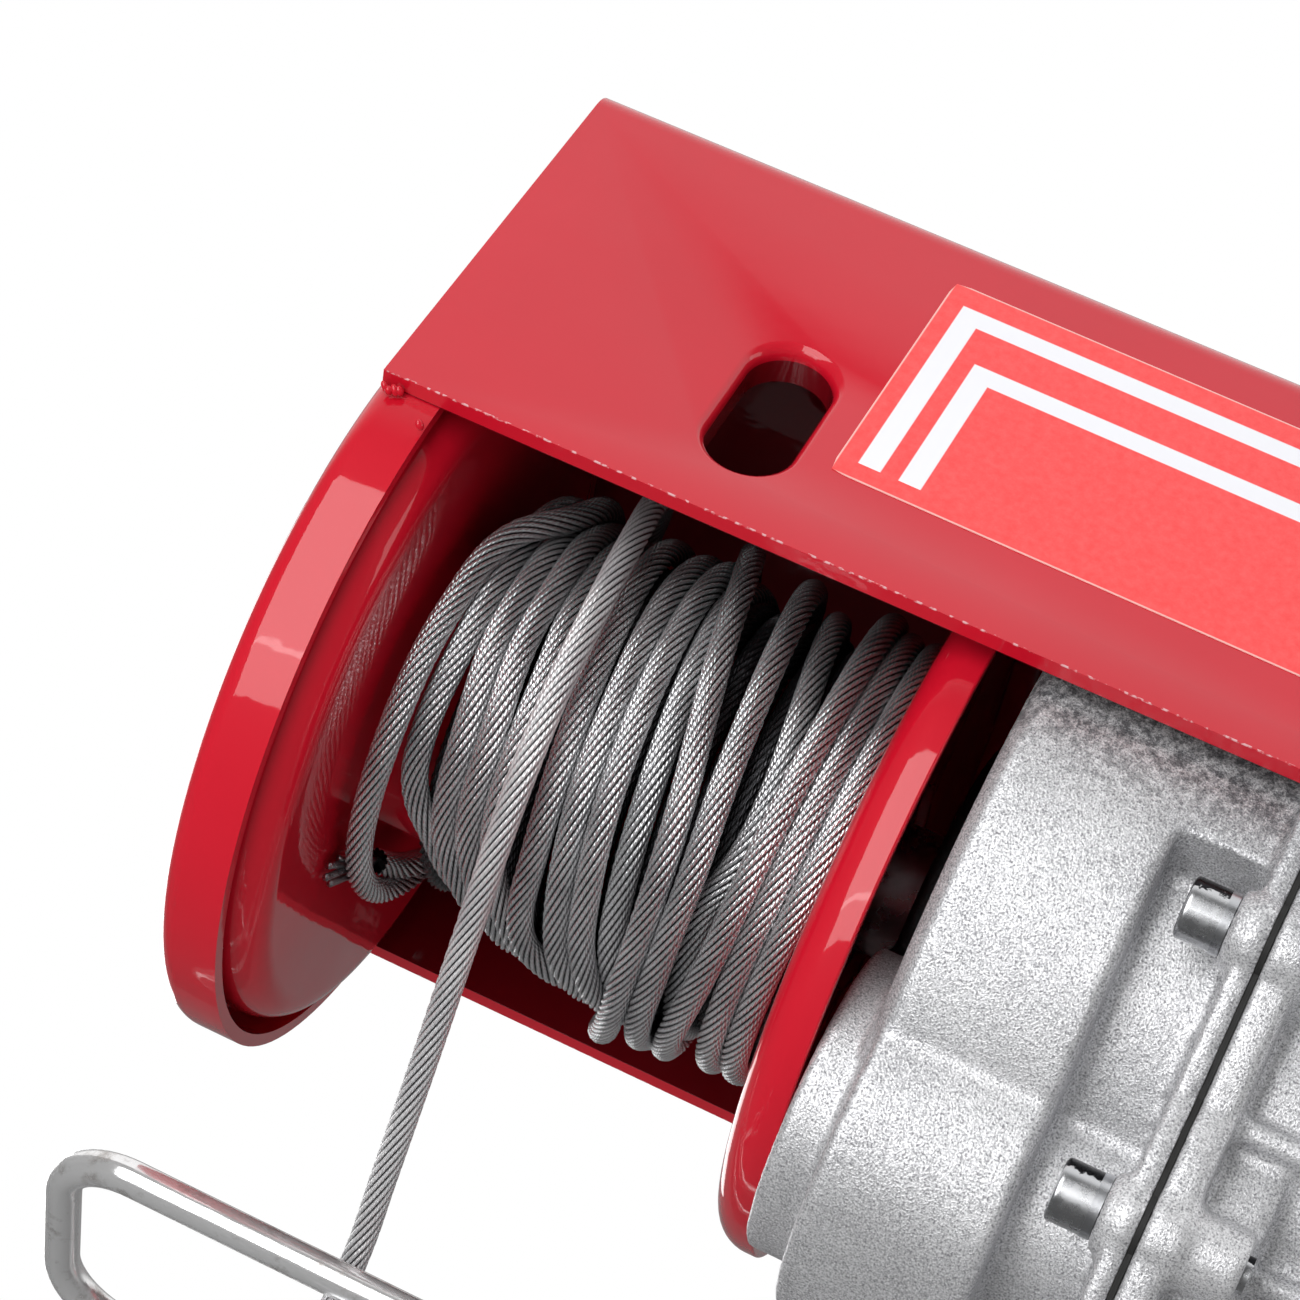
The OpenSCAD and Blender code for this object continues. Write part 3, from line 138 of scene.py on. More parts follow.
def baked_enamel(name, shaded_inside=False):
    """Gloss stoving enamel on pressed sheet: deep red, mirror-like, with orange peel, sags and caught dust.
    On the channel, the inner faces are painted shade, a dark red, and its lower
    edges are rubbed through in short dashes."""
    m, t, shader, here = new_material(name, "red_paint")
    cloud = add(t, NOISE, {"Vector": here, "Scale": 1 / (30 * MM), "Detail": 3.0})
    body = add(t, MIX, {0: cloud, 6: linear("#bf0c22"), 7: linear("#ca1028")}, **COLOURS)
    cell = add(t, "ShaderNodeTexVoronoi", {"Vector": here, "Scale": 1 / (6 * MM)}).node.outputs
    drawn = add(t, "ShaderNodeSeparateColor", {0: cell["Color"]})
    few = add(t, MATH, {0: drawn, 1: 0.86}, operation="GREATER_THAN")
    near = add(t, MAP, {"Value": cell["Distance"], "From Min": 0.045, "From Max": 0.03})
    dust = add(t, MATH, {0: few, 1: near}, **TIMES)
    dust_and_shade = add(t, MIX, {0: dust, 6: body, 7: linear("#e9a9ad")}, **COLOURS)
    # Painted shade: the channel's inner faces are mixed to a dark red, where shade falls inside the channel
    if shaded_inside:
        at = add(t, SPLIT, {0: here}).node.outputs
        out = add(t, MATH, {0: at["Y"]}, operation="ABSOLUTE")
        behind = add(t, MATH, {0: out, 1: INSIDE_Y * MM}, operation="LESS_THAN")
        below = add(t, MATH, {0: at["Z"], 1: INSIDE_Z * MM}, operation="LESS_THAN")
        inside = add(t, MATH, {0: behind, 1: below}, **TIMES)
        thin = add(t, MIX, {0: inside, 6: dust_and_shade, 7: linear("#6a0510")}, **COLOURS)
        outer = add(t, MATH, {0: out, 1: EDGE_Y * MM}, operation="GREATER_THAN")
        low = add(t, MATH, {0: at["Z"], 1: EDGE_Z * MM}, operation="LESS_THAN")
        on_edge = add(t, MATH, {0: outer, 1: low}, **TIMES)
        rub = add(t, NOISE, {"Vector": here, "Scale": 1 / (1.1 * MM), "Detail": 2.0})
        chipped = add(t, MAP, {"Value": rub, "From Min": 0.52, "From Max": 0.6})
        bare = add(t, MATH, {0: on_edge, 1: chipped}, **TIMES)
        dust_and_shade = add(t, MIX, {0: bare, 6: thin, 7: linear("#d9a5a8")}, **COLOURS)
    fine = add(t, NOISE, {"Vector": here, "Scale": 1 / (2.6 * MM), "Detail": 1.0})
    peel = add(t, BUMP, {"Height": fine, "Distance": 0.022 * MM})
    slow = add(t, NOISE, {"Vector": here, "Scale": 1 / (17 * MM), "Detail": 1.0})
    sag = add(t, BUMP, {"Height": slow, "Distance": 0.16 * MM, "Normal": peel})
    finish(t, shader, {"Roughness": 0.5, "Specular IOR Level": 0.1, "Coat Weight": 1.0,
                       "Coat Roughness": 0.045}, base_color=dust_and_shade, coat_normal=sag, normal=sag)
    return m


# Painted black shade lies within this radius of the drum's axis, and no further than this width from this X,
# mm
GAP_SHADE_R, GAP_SHADE_X, GAP_SHADE_W = 30.0, -45.4, 8.0
CAST_SHADE_LOW, CAST_SHADE_TOP = -86.0, -73.0   # painted shade under the channel's edge starts at one height, full at the other, mm


def blasted_casting():
    """Die cast aluminium after shot blasting: pale, half matt grey with a sandy sparkle, mottled painted
    shade high up under the channel's edge, and near black painted shade in the gap round the drum shaft."""
    m, t, shader, here = new_material("blasted_casting", "cast_aluminium")
    grit = add(t, NOISE, {"Vector": here, "Scale": 1 / (0.3 * MM), "Detail": 1.0, "Roughness": 0.7})
    stain = add(t, NOISE, {"Vector": here, "Scale": 1 / (24 * MM), "Detail": 5.0, "Roughness": 0.62})
    stained = add(t, MAP, {"Value": stain, "From Min": 0.42, "From Max": 0.72})
    base = add(t, MIX, {0: stained, 6: linear("#dadadc"), 7: linear("#b6b6b9")}, **COLOURS)
    spark = add(t, MAP, {"Value": grit, "From Min": 0.5, "From Max": 0.32})
    sparkling = add(t, MIX, {0: spark, 6: base, 7: linear("#f6f6f8")}, **COLOURS)
    pit = add(t, MAP, {"Value": grit, "From Min": 0.52, "From Max": 0.72})
    pitted = add(t, MIX, {0: pit, 6: sparkling, 7: linear("#8c8c90")}, **COLOURS)
    at = add(t, SPLIT, {0: here}).node.outputs
    # Painted shade: near black in the gap between the drum's right flange and the gearbox, round the drum
    # shaft
    below_axis = add(t, MATH, {0: at["Z"], 1: AXIS[2] * MM}, **MINUS)
    across = add(t, JOINED, {1: at["Y"], 2: below_axis})
    from_axis = add(t, "ShaderNodeVectorMath", {0: across}, out=1, operation="LENGTH")
    near = add(t, MATH, {0: from_axis, 1: GAP_SHADE_R * MM}, operation="LESS_THAN")
    from_shaft = add(t, MATH, {0: at["X"], 1: GAP_SHADE_X * MM}, **MINUS)
    along = add(t, MATH, {0: from_shaft}, operation="ABSOLUTE")
    beside = add(t, MATH, {0: along, 1: GAP_SHADE_W * MM}, operation="LESS_THAN")
    in_gap_shade = add(t, MATH, {0: near, 1: beside}, **TIMES)
    # Painted shade: mottled darkening high up, under the channel's lower edge, where shade falls on the
    # casting
    high = add(t, MAP, {"Value": at["Z"], "From Min": CAST_SHADE_LOW * MM, "From Max": CAST_SHADE_TOP * MM})
    mottle_noise = add(t, NOISE, {"Vector": here, "Scale": 1 / (1.5 * MM), "Detail": 4.0, "Roughness": 0.75})
    mottled_shade = add(t, MAP, {"Value": mottle_noise, "From Min": 0.4, "From Max": 0.6, "To Max": 0.8})
    under_channel_shade = add(t, MATH, {0: high, 1: mottled_shade}, **TIMES)
    shaded_cast = add(t, MIX, {0: under_channel_shade, 6: pitted, 7: linear("#3f3f44")}, **COLOURS)
    cast_colour_and_shade = add(t, MIX, {0: in_gap_shade, 6: shaded_cast, 7: linear("#141415")}, **COLOURS)
    uneven = add(t, MAP, {"Value": grit, "From Min": 0.3, "From Max": 0.7, "To Min": 0.36, "To Max": 0.56})
    skin = add(t, NOISE, {"Vector": here, "Scale": 1 / (4 * MM), "Detail": 3.0})
    lumps = add(t, BUMP, {"Height": skin, "Distance": 0.035 * MM})
    sand = add(t, BUMP, {"Height": grit, "Distance": 0.09 * MM, "Normal": lumps})
    finish(t, shader, {"Metallic": 0.6}, base_color=cast_colour_and_shade, roughness=uneven, normal=sand)
    return m


def plain_metal(name, slot, light, dark, roughness, grain_mm, depth_mm):
    """Bare or plated metal: two close tones in soft clouds, a fine grain and uneven gloss."""
    m, t, shader, here = new_material(name, slot)
    tone = add(t, NOISE, {"Vector": here, "Scale": 1 / (grain_mm * 6 * MM), "Detail": 3.0})
    base = add(t, MIX, {0: tone, 6: linear(dark), 7: linear(light)}, **COLOURS)
    worn = add(t, NOISE, {"Vector": here, "Scale": 1 / (grain_mm * 11 * MM), "Detail": 3.0})
    gloss = add(t, MAP, {"Value": worn, "From Min": 0.3, "From Max": 0.7, "To Min": roughness * 0.75,
                         "To Max": roughness * 1.3})
    grain = add(t, NOISE, {"Vector": here, "Scale": 1 / (grain_mm * MM)})
    rough = add(t, BUMP, {"Height": grain, "Distance": depth_mm * MM})
    finish(t, shader, {"Metallic": 1.0}, base_color=base, roughness=gloss, normal=rough)
    return m


def zinc_dark_above():
    """Zinc plated screw: bright plate, near black on the faces that point up, with a
    broken edge."""
    m, t, shader, here = new_material("zinc_plate_dark_above", "zinc_plated_steel")
    faces = add(t, SPLIT, {0: add(t, "ShaderNodeNewGeometry", out="Normal")}, out=2)
    chip = add(t, NOISE, {"Vector": here, "Scale": 1 / (2.2 * MM), "Detail": 5.0, "Roughness": 0.7})
    ragged = add(t, MATH, {0: chip, 1: 1.6}, **TIMES)
    broken = add(t, MATH, {0: faces, 1: ragged}, operation="ADD")
    # Colour by the face's direction: near black where the face points up, with a ragged border
    dark_above = add(t, MAP, {"Value": broken, "From Min": 0.88, "From Max": 0.95})
    plate = add(t, MIX, {0: chip, 6: linear("#b9babd"), 7: linear("#e2e3e5")}, **COLOURS)
    base = add(t, MIX, {0: dark_above, 6: plate, 7: linear("#232326")}, **COLOURS)
    gloss = add(t, MAP, {"Value": chip, "From Min": 0.3, "From Max": 0.7, "To Min": 0.2, "To Max": 0.34})
    finish(t, shader, {"Metallic": 1.0}, base_color=base, roughness=gloss)
    return m


def drawn_rod():
    """Bright nickel plate on drawn rod: clear reflections with drawing lines along it and dull scuffs."""
    m, t, shader, here = new_material("nickel_plated_rod", "nickel_plated_rod")
    along = add(t, "ShaderNodeMapping", {"Vector": here, "Scale": (0.05, 1, 1)})
    lines = add(t, NOISE, {"Vector": along, "Scale": 1 / (0.4 * MM), "Detail": 3.0})
    patch = add(t, NOISE, {"Vector": here, "Scale": 1 / (6 * MM), "Detail": 6.0, "Roughness": 0.7})
    scuff = add(t, MAP, {"Value": patch, "From Min": 0.54, "From Max": 0.68})
    base = add(t, MIX, {0: scuff, 6: linear("#f0f0f0"), 7: linear("#b9b5b2")}, **COLOURS)
    gloss = add(t, MAP, {"Value": scuff, "To Min": 0.13, "To Max": 0.36})
    drawn = add(t, BUMP, {"Height": lines, "Distance": 0.02 * MM})
    finish(t, shader, {"Metallic": 0.7}, base_color=base, roughness=gloss, normal=drawn)
    return m


STRANDS = 12
WIRES_ACROSS = 3.0   # bright wires seen across one strand
WIRE_LEAN = 1.33     # wires that pass in a millimetre of rope
ROPE_SHADE_LOW, ROPE_SHADE_TOP = -64.0, -40.0   # painted shade high up starts at the first height and is full at the second, mm


def laid_wire(name, light, dark, groove, metal=0.8, top_shade=0.0):
    """Galvanised wires laid in strands: bright along each wire with painted shade between wires, grey with
    grease, black between strands as grease and painted shade, and painted shade high up, under the channel."""
    m, t, shader, here = new_material(name, "wire_rope")
    lay = add(t, SPLIT, {0: add(t, "ShaderNodeUVMap", uv_map="lay")}).node
    turned = add(t, MATH, {0: lay.outputs[0], 1: float(STRANDS)}, **TIMES)
    across = add(t, MATH, {0: turned}, operation="FRACT")
    centred = add(t, MATH, {0: across, 1: 0.5}, **MINUS)
    off = add(t, MATH, {0: centred}, operation="ABSOLUTE")
    # Painted shade, with grease: near black in the grooves between strands
    valley = add(t, MAP, {"Value": off, "From Min": 0.27, "From Max": 0.46})
    phase = add(t, MATH, {0: across, 1: WIRES_ACROSS * math.tau}, **TIMES)
    lean = add(t, MATH, {0: lay.outputs[1], 1: WIRE_LEAN * math.tau}, **TIMES)
    both = add(t, MATH, {0: phase, 1: lean}, operation="ADD")
    wire = add(t, MAP, {"Value": add(t, MATH, {0: both}, operation="SINE"), "From Min": -1.0})
    film = add(t, NOISE, {"Vector": here, "Scale": 1 / (11 * MM), "Detail": 4.0, "Roughness": 0.6})
    grease = add(t, MAP, {"Value": film, "From Min": 0.4, "From Max": 0.72, "To Max": 0.7})
    zinc = add(t, MIX, {0: grease, 6: linear(light), 7: linear(dark)}, **COLOURS)
    # Painted shade: the rope darkens high up, where the channel shades it
    height = add(t, SPLIT, {0: here}, out=2)
    shaded_high = add(t, MAP, {"Value": height, "From Min": ROPE_SHADE_LOW * MM, "From Max": ROPE_SHADE_TOP * MM, "To Max": top_shade})
    zinc = add(t, MIX, {0: shaded_high, 6: zinc, 7: linear("#2e2e32")}, **COLOURS)
    # Painted shade in the gaps between the wires
    gap = add(t, MAP, {"Value": wire, "From Max": 0.5, "To Min": 0.32, "To Max": 0.0})
    wired = add(t, MIX, {0: gap, 6: zinc, 7: linear("#505053")}, **COLOURS)
    base = add(t, MIX, {0: valley, 6: wired, 7: linear(groove)}, **COLOURS)
    ridge = add(t, BUMP, {"Height": wire, "Distance": 0.05 * MM})
    finish(t, shader, {"Metallic": metal, "Roughness": 0.25}, base_color=base, normal=ridge)
    return m


# The film's low corner from the drum axis frame, its length, height and thickness, its lines' width, mm
FILM_X, FILM_Z, FILM_LEN, FILM_H, FILM_T = 60.5, 11.0, 150.0, 44.2, 0.15
LINE_W = 3.3
LINE_BLUR = 0.08                   # half the soft border of a line
LINES = ((2.9, 4.0), (8.9, 14.1))  # where each white line starts: from the film's end, from its top
LEG_FOOT = 3.2                     # the lines' legs end this far above the film's lower edge


def printed_film():
    """Printed vinyl: bright mottled red, two white lines bent round its corners, a thin pale cut edge."""
    m, t, shader, here = new_material("printed_film", "label_film")
    flat = add(t, SPLIT, {0: add(t, "ShaderNodeUVMap", uv_map="film")}).node
    z = flat.outputs[1]
    middle = add(t, MATH, {0: flat.outputs[0], 1: FILM_LEN / 2}, **MINUS)
    from_middle = add(t, MATH, {0: middle}, operation="ABSOLUTE")
    from_end = add(t, MATH, {0: FILM_LEN / 2, 1: from_middle}, **MINUS)
    from_top = add(t, MATH, {0: FILM_H, 1: z}, **MINUS)
    line = None
    for start, top in LINES:
        past_start = add(t, MATH, {0: from_end, 1: start}, **MINUS)
        past_top = add(t, MATH, {0: from_top, 1: top}, **MINUS)
        depth = add(t, MATH, {0: past_start, 1: past_top}, operation="MINIMUM")
        outer = add(t, MAP, {"Value": depth, "From Min": -LINE_BLUR, "From Max": LINE_BLUR})
        inner = add(t, MAP, {"Value": depth, "From Min": LINE_W + LINE_BLUR,
                             "From Max": LINE_W - LINE_BLUR})
        band = add(t, MATH, {0: outer, 1: inner}, **TIMES)
        line = band if line is None else add(t, MATH, {0: line, 1: band}, operation="MAXIMUM")
    above = add(t, MATH, {0: z, 1: LEG_FOOT}, operation="GREATER_THAN")
    printed = add(t, MATH, {0: line, 1: above}, **TIMES)
    ink_noise = add(t, NOISE, {"Vector": here, "Scale": 1 / (1.3 * MM), "Detail": 5.0, "Roughness": 0.7})
    mottle = add(t, MAP, {"Value": ink_noise, "From Min": 0.35, "From Max": 0.7})
    ink = add(t, MIX, {0: mottle, 6: linear("#f42f30"), 7: linear("#fb4b4a")}, **COLOURS)
    near_side = add(t, MATH, {0: from_end, 1: from_top}, operation="MINIMUM")
    near_edge = add(t, MATH, {0: near_side, 1: z}, operation="MINIMUM")
    rim = add(t, MAP, {"Value": near_edge, "From Min": 0.3, "From Max": 0.15})
    edged = add(t, MIX, {0: rim, 6: ink, 7: linear("#f3b5ae")}, **COLOURS)
    base = add(t, MIX, {0: printed, 6: edged, 7: linear("#eeeef3")}, **COLOURS)
    wave = add(t, NOISE, {"Vector": here, "Scale": 1 / (8 * MM)})
    ripple = add(t, BUMP, {"Height": wave, "Distance": 0.05 * MM})
    finish(t, shader, {"Roughness": 0.4, "Coat Weight": 0.6, "Coat Roughness": 0.12},
           base_color=base, normal=ripple)
    return m


def moulded(name, slot, colour, other, roughness, grain_mm=0.4, depth_mm=0.02):
    """Plastic, rubber or friction lining: matt moulded skin with a slight change of tone."""
    m, t, shader, here = new_material(name, slot)
    tone = add(t, NOISE, {"Vector": here, "Scale": 1 / (12 * MM), "Detail": 3.0})
    base = add(t, MIX, {0: tone, 6: linear(colour), 7: linear(other)}, **COLOURS)
    gloss = add(t, MAP, {"Value": tone, "From Min": 0.3, "From Max": 0.7, "To Min": roughness * 0.85,
                         "To Max": min(roughness * 1.15, 1.0)})
    skin = add(t, NOISE, {"Vector": here, "Scale": 1 / (grain_mm * MM), "Detail": 2.0})
    grain = add(t, BUMP, {"Height": skin, "Distance": depth_mm * MM})
    finish(t, shader, base_color=base, roughness=gloss, normal=grain)
    return m


RED = baked_enamel("baked_enamel")
CHANNEL_RED = baked_enamel("baked_enamel_channel", shaded_inside=True)
CAST = blasted_casting()
STEEL = plain_metal("turned_steel", "machined_steel", "#c2c2c5", "#97989b", 0.3, 0.3, 0.01)
ZINC = plain_metal("bright_zinc_plate", "zinc_plated_steel", "#d6d7da", "#aeb0b4", 0.26, 0.4, 0.012)
FORGED = plain_metal("zinc_plated_forging", "forged_steel", "#c4c5c8", "#999a9e", 0.36, 0.9, 0.06)
PRESSED = plain_metal("pressed_aluminium_sheet", "pressed_aluminium", "#cfd0d2", "#b2b3b6", 0.36, 0.5, 0.01)
LAMINATION = plain_metal("blued_lamination_steel", "lamination_steel", "#7d7f84", "#5a5c61", 0.5, 0.5, 0.02)
COPPER = plain_metal("enamelled_copper_wire", "enamelled_copper", "#b5622c", "#8a431b", 0.3, 0.4, 0.03)
ROD = drawn_rod()
SCREW = zinc_dark_above()
WIRE = laid_wire("galvanised_wire", "#f7f7f9", "#b4b4b8", "#121113", top_shade=0.8)
# Painted light: a brighter, less metallic copy of the wire for the rope outside the channel, where more light
# falls
LIT_WIRE = laid_wire("galvanised_wire_lit_copy", "#fbfbfc", "#d0d0d4", "#242326", metal=0.5, top_shade=0.7)
WIRE_END = plain_metal("bright_galvanised_wire", "wire_rope", "#e6e6e8", "#8d8d90", 0.28, 0.3, 0.01)
# Painted shade: a dark copy of the wire for the under layer, which lies in shade below the outer turns
SHADED_WIRE = laid_wire("galvanised_wire_shaded_copy", "#5d5d60", "#2c2c2f", "#0c0c0d")
FILM = printed_film()
BLACK = moulded("black_nylon", "black_plastic", "#1d1d1f", "#262628", 0.5)
LINING = moulded("brake_friction_lining", "brake_lining", "#3a3430", "#2b2724", 0.85, 0.6, 0.05)
WHITE = moulded("white_acetal", "white_plastic", "#e2ddd0", "#d5d0c3", 0.4)
GASKET = moulded("nitrile_rubber", "gasket_rubber", "#1a1a1a", "#262524", 0.7, 0.3, 0.03)
CAN = moulded("capacitor_polypropylene", "capacitor_can", "#d8d8d2", "#cfcfca", 0.35)
BY_SLOT = {}
for made in (RED, CAST, STEEL, ZINC, FORGED, PRESSED, LAMINATION, COPPER, ROD, WIRE, FILM, BLACK, LINING,
             WHITE, GASKET, CAN):
    BY_SLOT[SLOTS[made.name]] = made
for cad in NODES.values():
    for carried in cad.material_slots:
        carried.material = BY_SLOT[carried.material.name.split(".")[0]]


# ---------------------------------------------------------------- meshes

MERGE = 2e-6       # corners of a CAD node that lie nearer than this, in metres, are one
EDGE_ANGLE = 32    # edges sharper than this are rounded, degrees
FLAT_ANGLE = 0.5   # faces that meet flatter than this are one, degrees


def new_piece(name, body, material, verts, faces):
    """A mesh piece that rides on a body; points are in the part's frame, in metres."""
    mesh = bpy.data.meshes.new(name)
    mesh.from_pydata([tuple(v) for v in verts], [], faces)
    mesh.update()
    piece = stand(name, mesh)
    mesh.materials.append(material)
    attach(piece, body)
    return piece


def smooth(piece, angle=35):
    """Smooth shading, broken at edges sharper than the angle."""
    piece.data.shade_smooth()
    piece.data.set_sharp_from_angle(angle=math.radians(angle))


def merged(node):
    """A CAD node's triangles with their shared corners joined."""
    b = bmesh.new()
    b.from_mesh(NODES[node].data)
    bmesh.ops.remove_doubles(b, verts=b.verts, dist=MERGE)
    return b


def mesh_from(b, name):
    """Ends the building of a shape and gives it as a mesh."""
    mesh = bpy.data.meshes.new(name)
    b.to_mesh(mesh)
    b.free()
    return mesh


def plain_result(start):
    """The plain mesh that an object's modifiers make of it. The object goes."""
    ready = start.evaluated_get(bpy.context.evaluated_depsgraph_get())
    mesh = bpy.data.meshes.new_from_object(ready)
    bpy.data.objects.remove(start)
    return mesh


def cast_skin(node, voxel_mm):
    """A casting as the mould leaves it: the CAD node's shape with every edge and corner run soft."""
    raw = stand("cast_" + node, mesh_from(merged(node), "cast_" + node))
    voxels = raw.modifiers.new("even skin", "REMESH")
    voxels.mode = "VOXEL"
    voxels.voxel_size = voxel_mm * MM
    voxels.use_smooth_shade = True
    soften = raw.modifiers.new("soft corners", "SMOOTH")
    soften.factor = 0.5
    soften.iterations = 1
    skin = plain_result(raw)
    piece = stand("cast_" + node, skin)
    skin.materials.clear()
    skin.materials.append(CAST)
    skin.shade_smooth()
    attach(piece, BODY[node])
    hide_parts(node)


def dressed(node, material, edge_mm):
    """A merged copy of a CAD node with its sharp edges rounded off, in its place."""
    b = merged(node)
    bmesh.ops.dissolve_limit(b, angle_limit=math.radians(FLAT_ANGLE), verts=b.verts, edges=b.edges,
                             delimit={"SHARP"})
    mesh = mesh_from(b, "finished_" + node)
    piece = stand(mesh.name, mesh)
    mesh.materials.clear()
    mesh.materials.append(material)
    smooth(piece, EDGE_ANGLE)
    rounding = piece.modifiers.new("rounded edges", "BEVEL")
    rounding.width = edge_mm * MM
    rounding.segments = 3
    rounding.limit_method = "ANGLE"
    rounding.angle_limit = math.radians(EDGE_ANGLE)
    rounding.harden_normals = True
    rounding.use_clamp_overlap = True
    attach(piece, BODY[node])
    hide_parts(node)


# ---------------------------------------------------------------- rope

ROPE_D = 4.0
LAY = 26.5  # a strand goes once round the rope in this length, mm


def smooth_through(points, knots):
    """Dense points of a smooth curve through given ones at their knots."""
    p, t = np.asarray(points, float), np.asarray(knots, float)
    m = np.gradient(p, t, axis=0)
    u = np.linspace(t[0], t[-1], 40 * len(t))
    i = np.clip(np.searchsorted(t, u, side="right") - 1, 0, len(t) - 2)
    h = (t[i + 1] - t[i])[:, None]
    s = (u - t[i])[:, None] / h
    return u, ((2 * s ** 3 - 3 * s ** 2 + 1) * p[i] + (s ** 3 - 2 * s ** 2 + s) * h * m[i]
               + (3 * s ** 2 - 2 * s ** 3) * p[i + 1] + (s ** 3 - s ** 2) * h * m[i + 1])


def evenly(line, step):
    """The same line with its points a step apart."""
    d = np.r_[0, np.cumsum(np.linalg.norm(np.diff(line, axis=0), axis=1))]
    n = max(2, int(round(d[-1] / step)))
    return np.stack([np.interp(np.linspace(0, d[-1], n + 1), d, line[:, k]) for k in range(3)], 1)


def routed(points, step):
    """A smooth line through points, a step apart, in millimetres."""
    p = np.asarray(points, float)
    chord = np.r_[0, np.cumsum(np.linalg.norm(np.diff(p, axis=0), axis=1))]
    return evenly(smooth_through(p, chord)[1], step)


def laid_rope(name, body, material, line, per_strand=4, diameter=ROPE_D, lay=LAY):
    """A rope of twelve strands along a line in millimetres. Its uv is the share of the turn and the length
    in millimetres."""
    n, k = len(line), STRANDS * per_strand
    ahead = np.gradient(line, axis=0)
    ahead /= np.linalg.norm(ahead, axis=1)[:, None]
    side = np.zeros_like(line)
    first = np.cross(ahead[0], [0.3, 0.5, 0.8])
    side[0] = first / np.linalg.norm(first)
    for i in range(1, n):
        v = side[i - 1] - ahead[i] * (side[i - 1] @ ahead[i])
        side[i] = v / np.linalg.norm(v)
    up = np.cross(ahead, side)
    length = np.r_[0, np.cumsum(np.linalg.norm(np.diff(line, axis=0), axis=1))]
    # outline of twelve touching strands
    half = math.pi / STRANDS
    ring_r = diameter / 2 / (1 + math.sin(half))
    strand_r = ring_r * math.sin(half)
    within = (np.arange(k) % per_strand) / per_strand * 2 * half - half
    radius = ring_r * np.cos(within) + np.sqrt(np.maximum(strand_r ** 2 - (ring_r * np.sin(within)) ** 2, 0))
    angle = (np.arange(k) / k * math.tau)[None, :] + (length / lay * math.tau)[:, None]
    points = (line[:, None, :] + (radius[None, :] * np.cos(angle))[..., None] * side[:, None, :]
              + (radius[None, :] * np.sin(angle))[..., None] * up[:, None, :])
    i, j = np.meshgrid(np.arange(n - 1), np.arange(k), indexing="ij")
    a, b = i * k + j, i * k + (j + 1) % k
    quads = np.stack([a, b, b + k, a + k], -1).reshape(-1, 4)
    faces = [tuple(f) for f in quads.tolist()] + [tuple(range(k))[::-1], tuple(range((n - 1) * k, n * k))]
    piece = new_piece(name, body, material, place(points.reshape(-1, 3)), faces)
    uv = np.zeros((len(quads) * 4 + 2 * k, 2), np.float32)
    u = np.stack([j, j + 1, j + 1, j], -1).reshape(-1) / k
    v = length[np.stack([i, i, i + 1, i + 1], -1).reshape(-1)]
    uv[:len(u), 0], uv[:len(u), 1] = u, v
    piece.data.uv_layers.new(name="lay").data.foreach_set("uv", uv.ravel())
    piece.data.shade_smooth()
    return piece


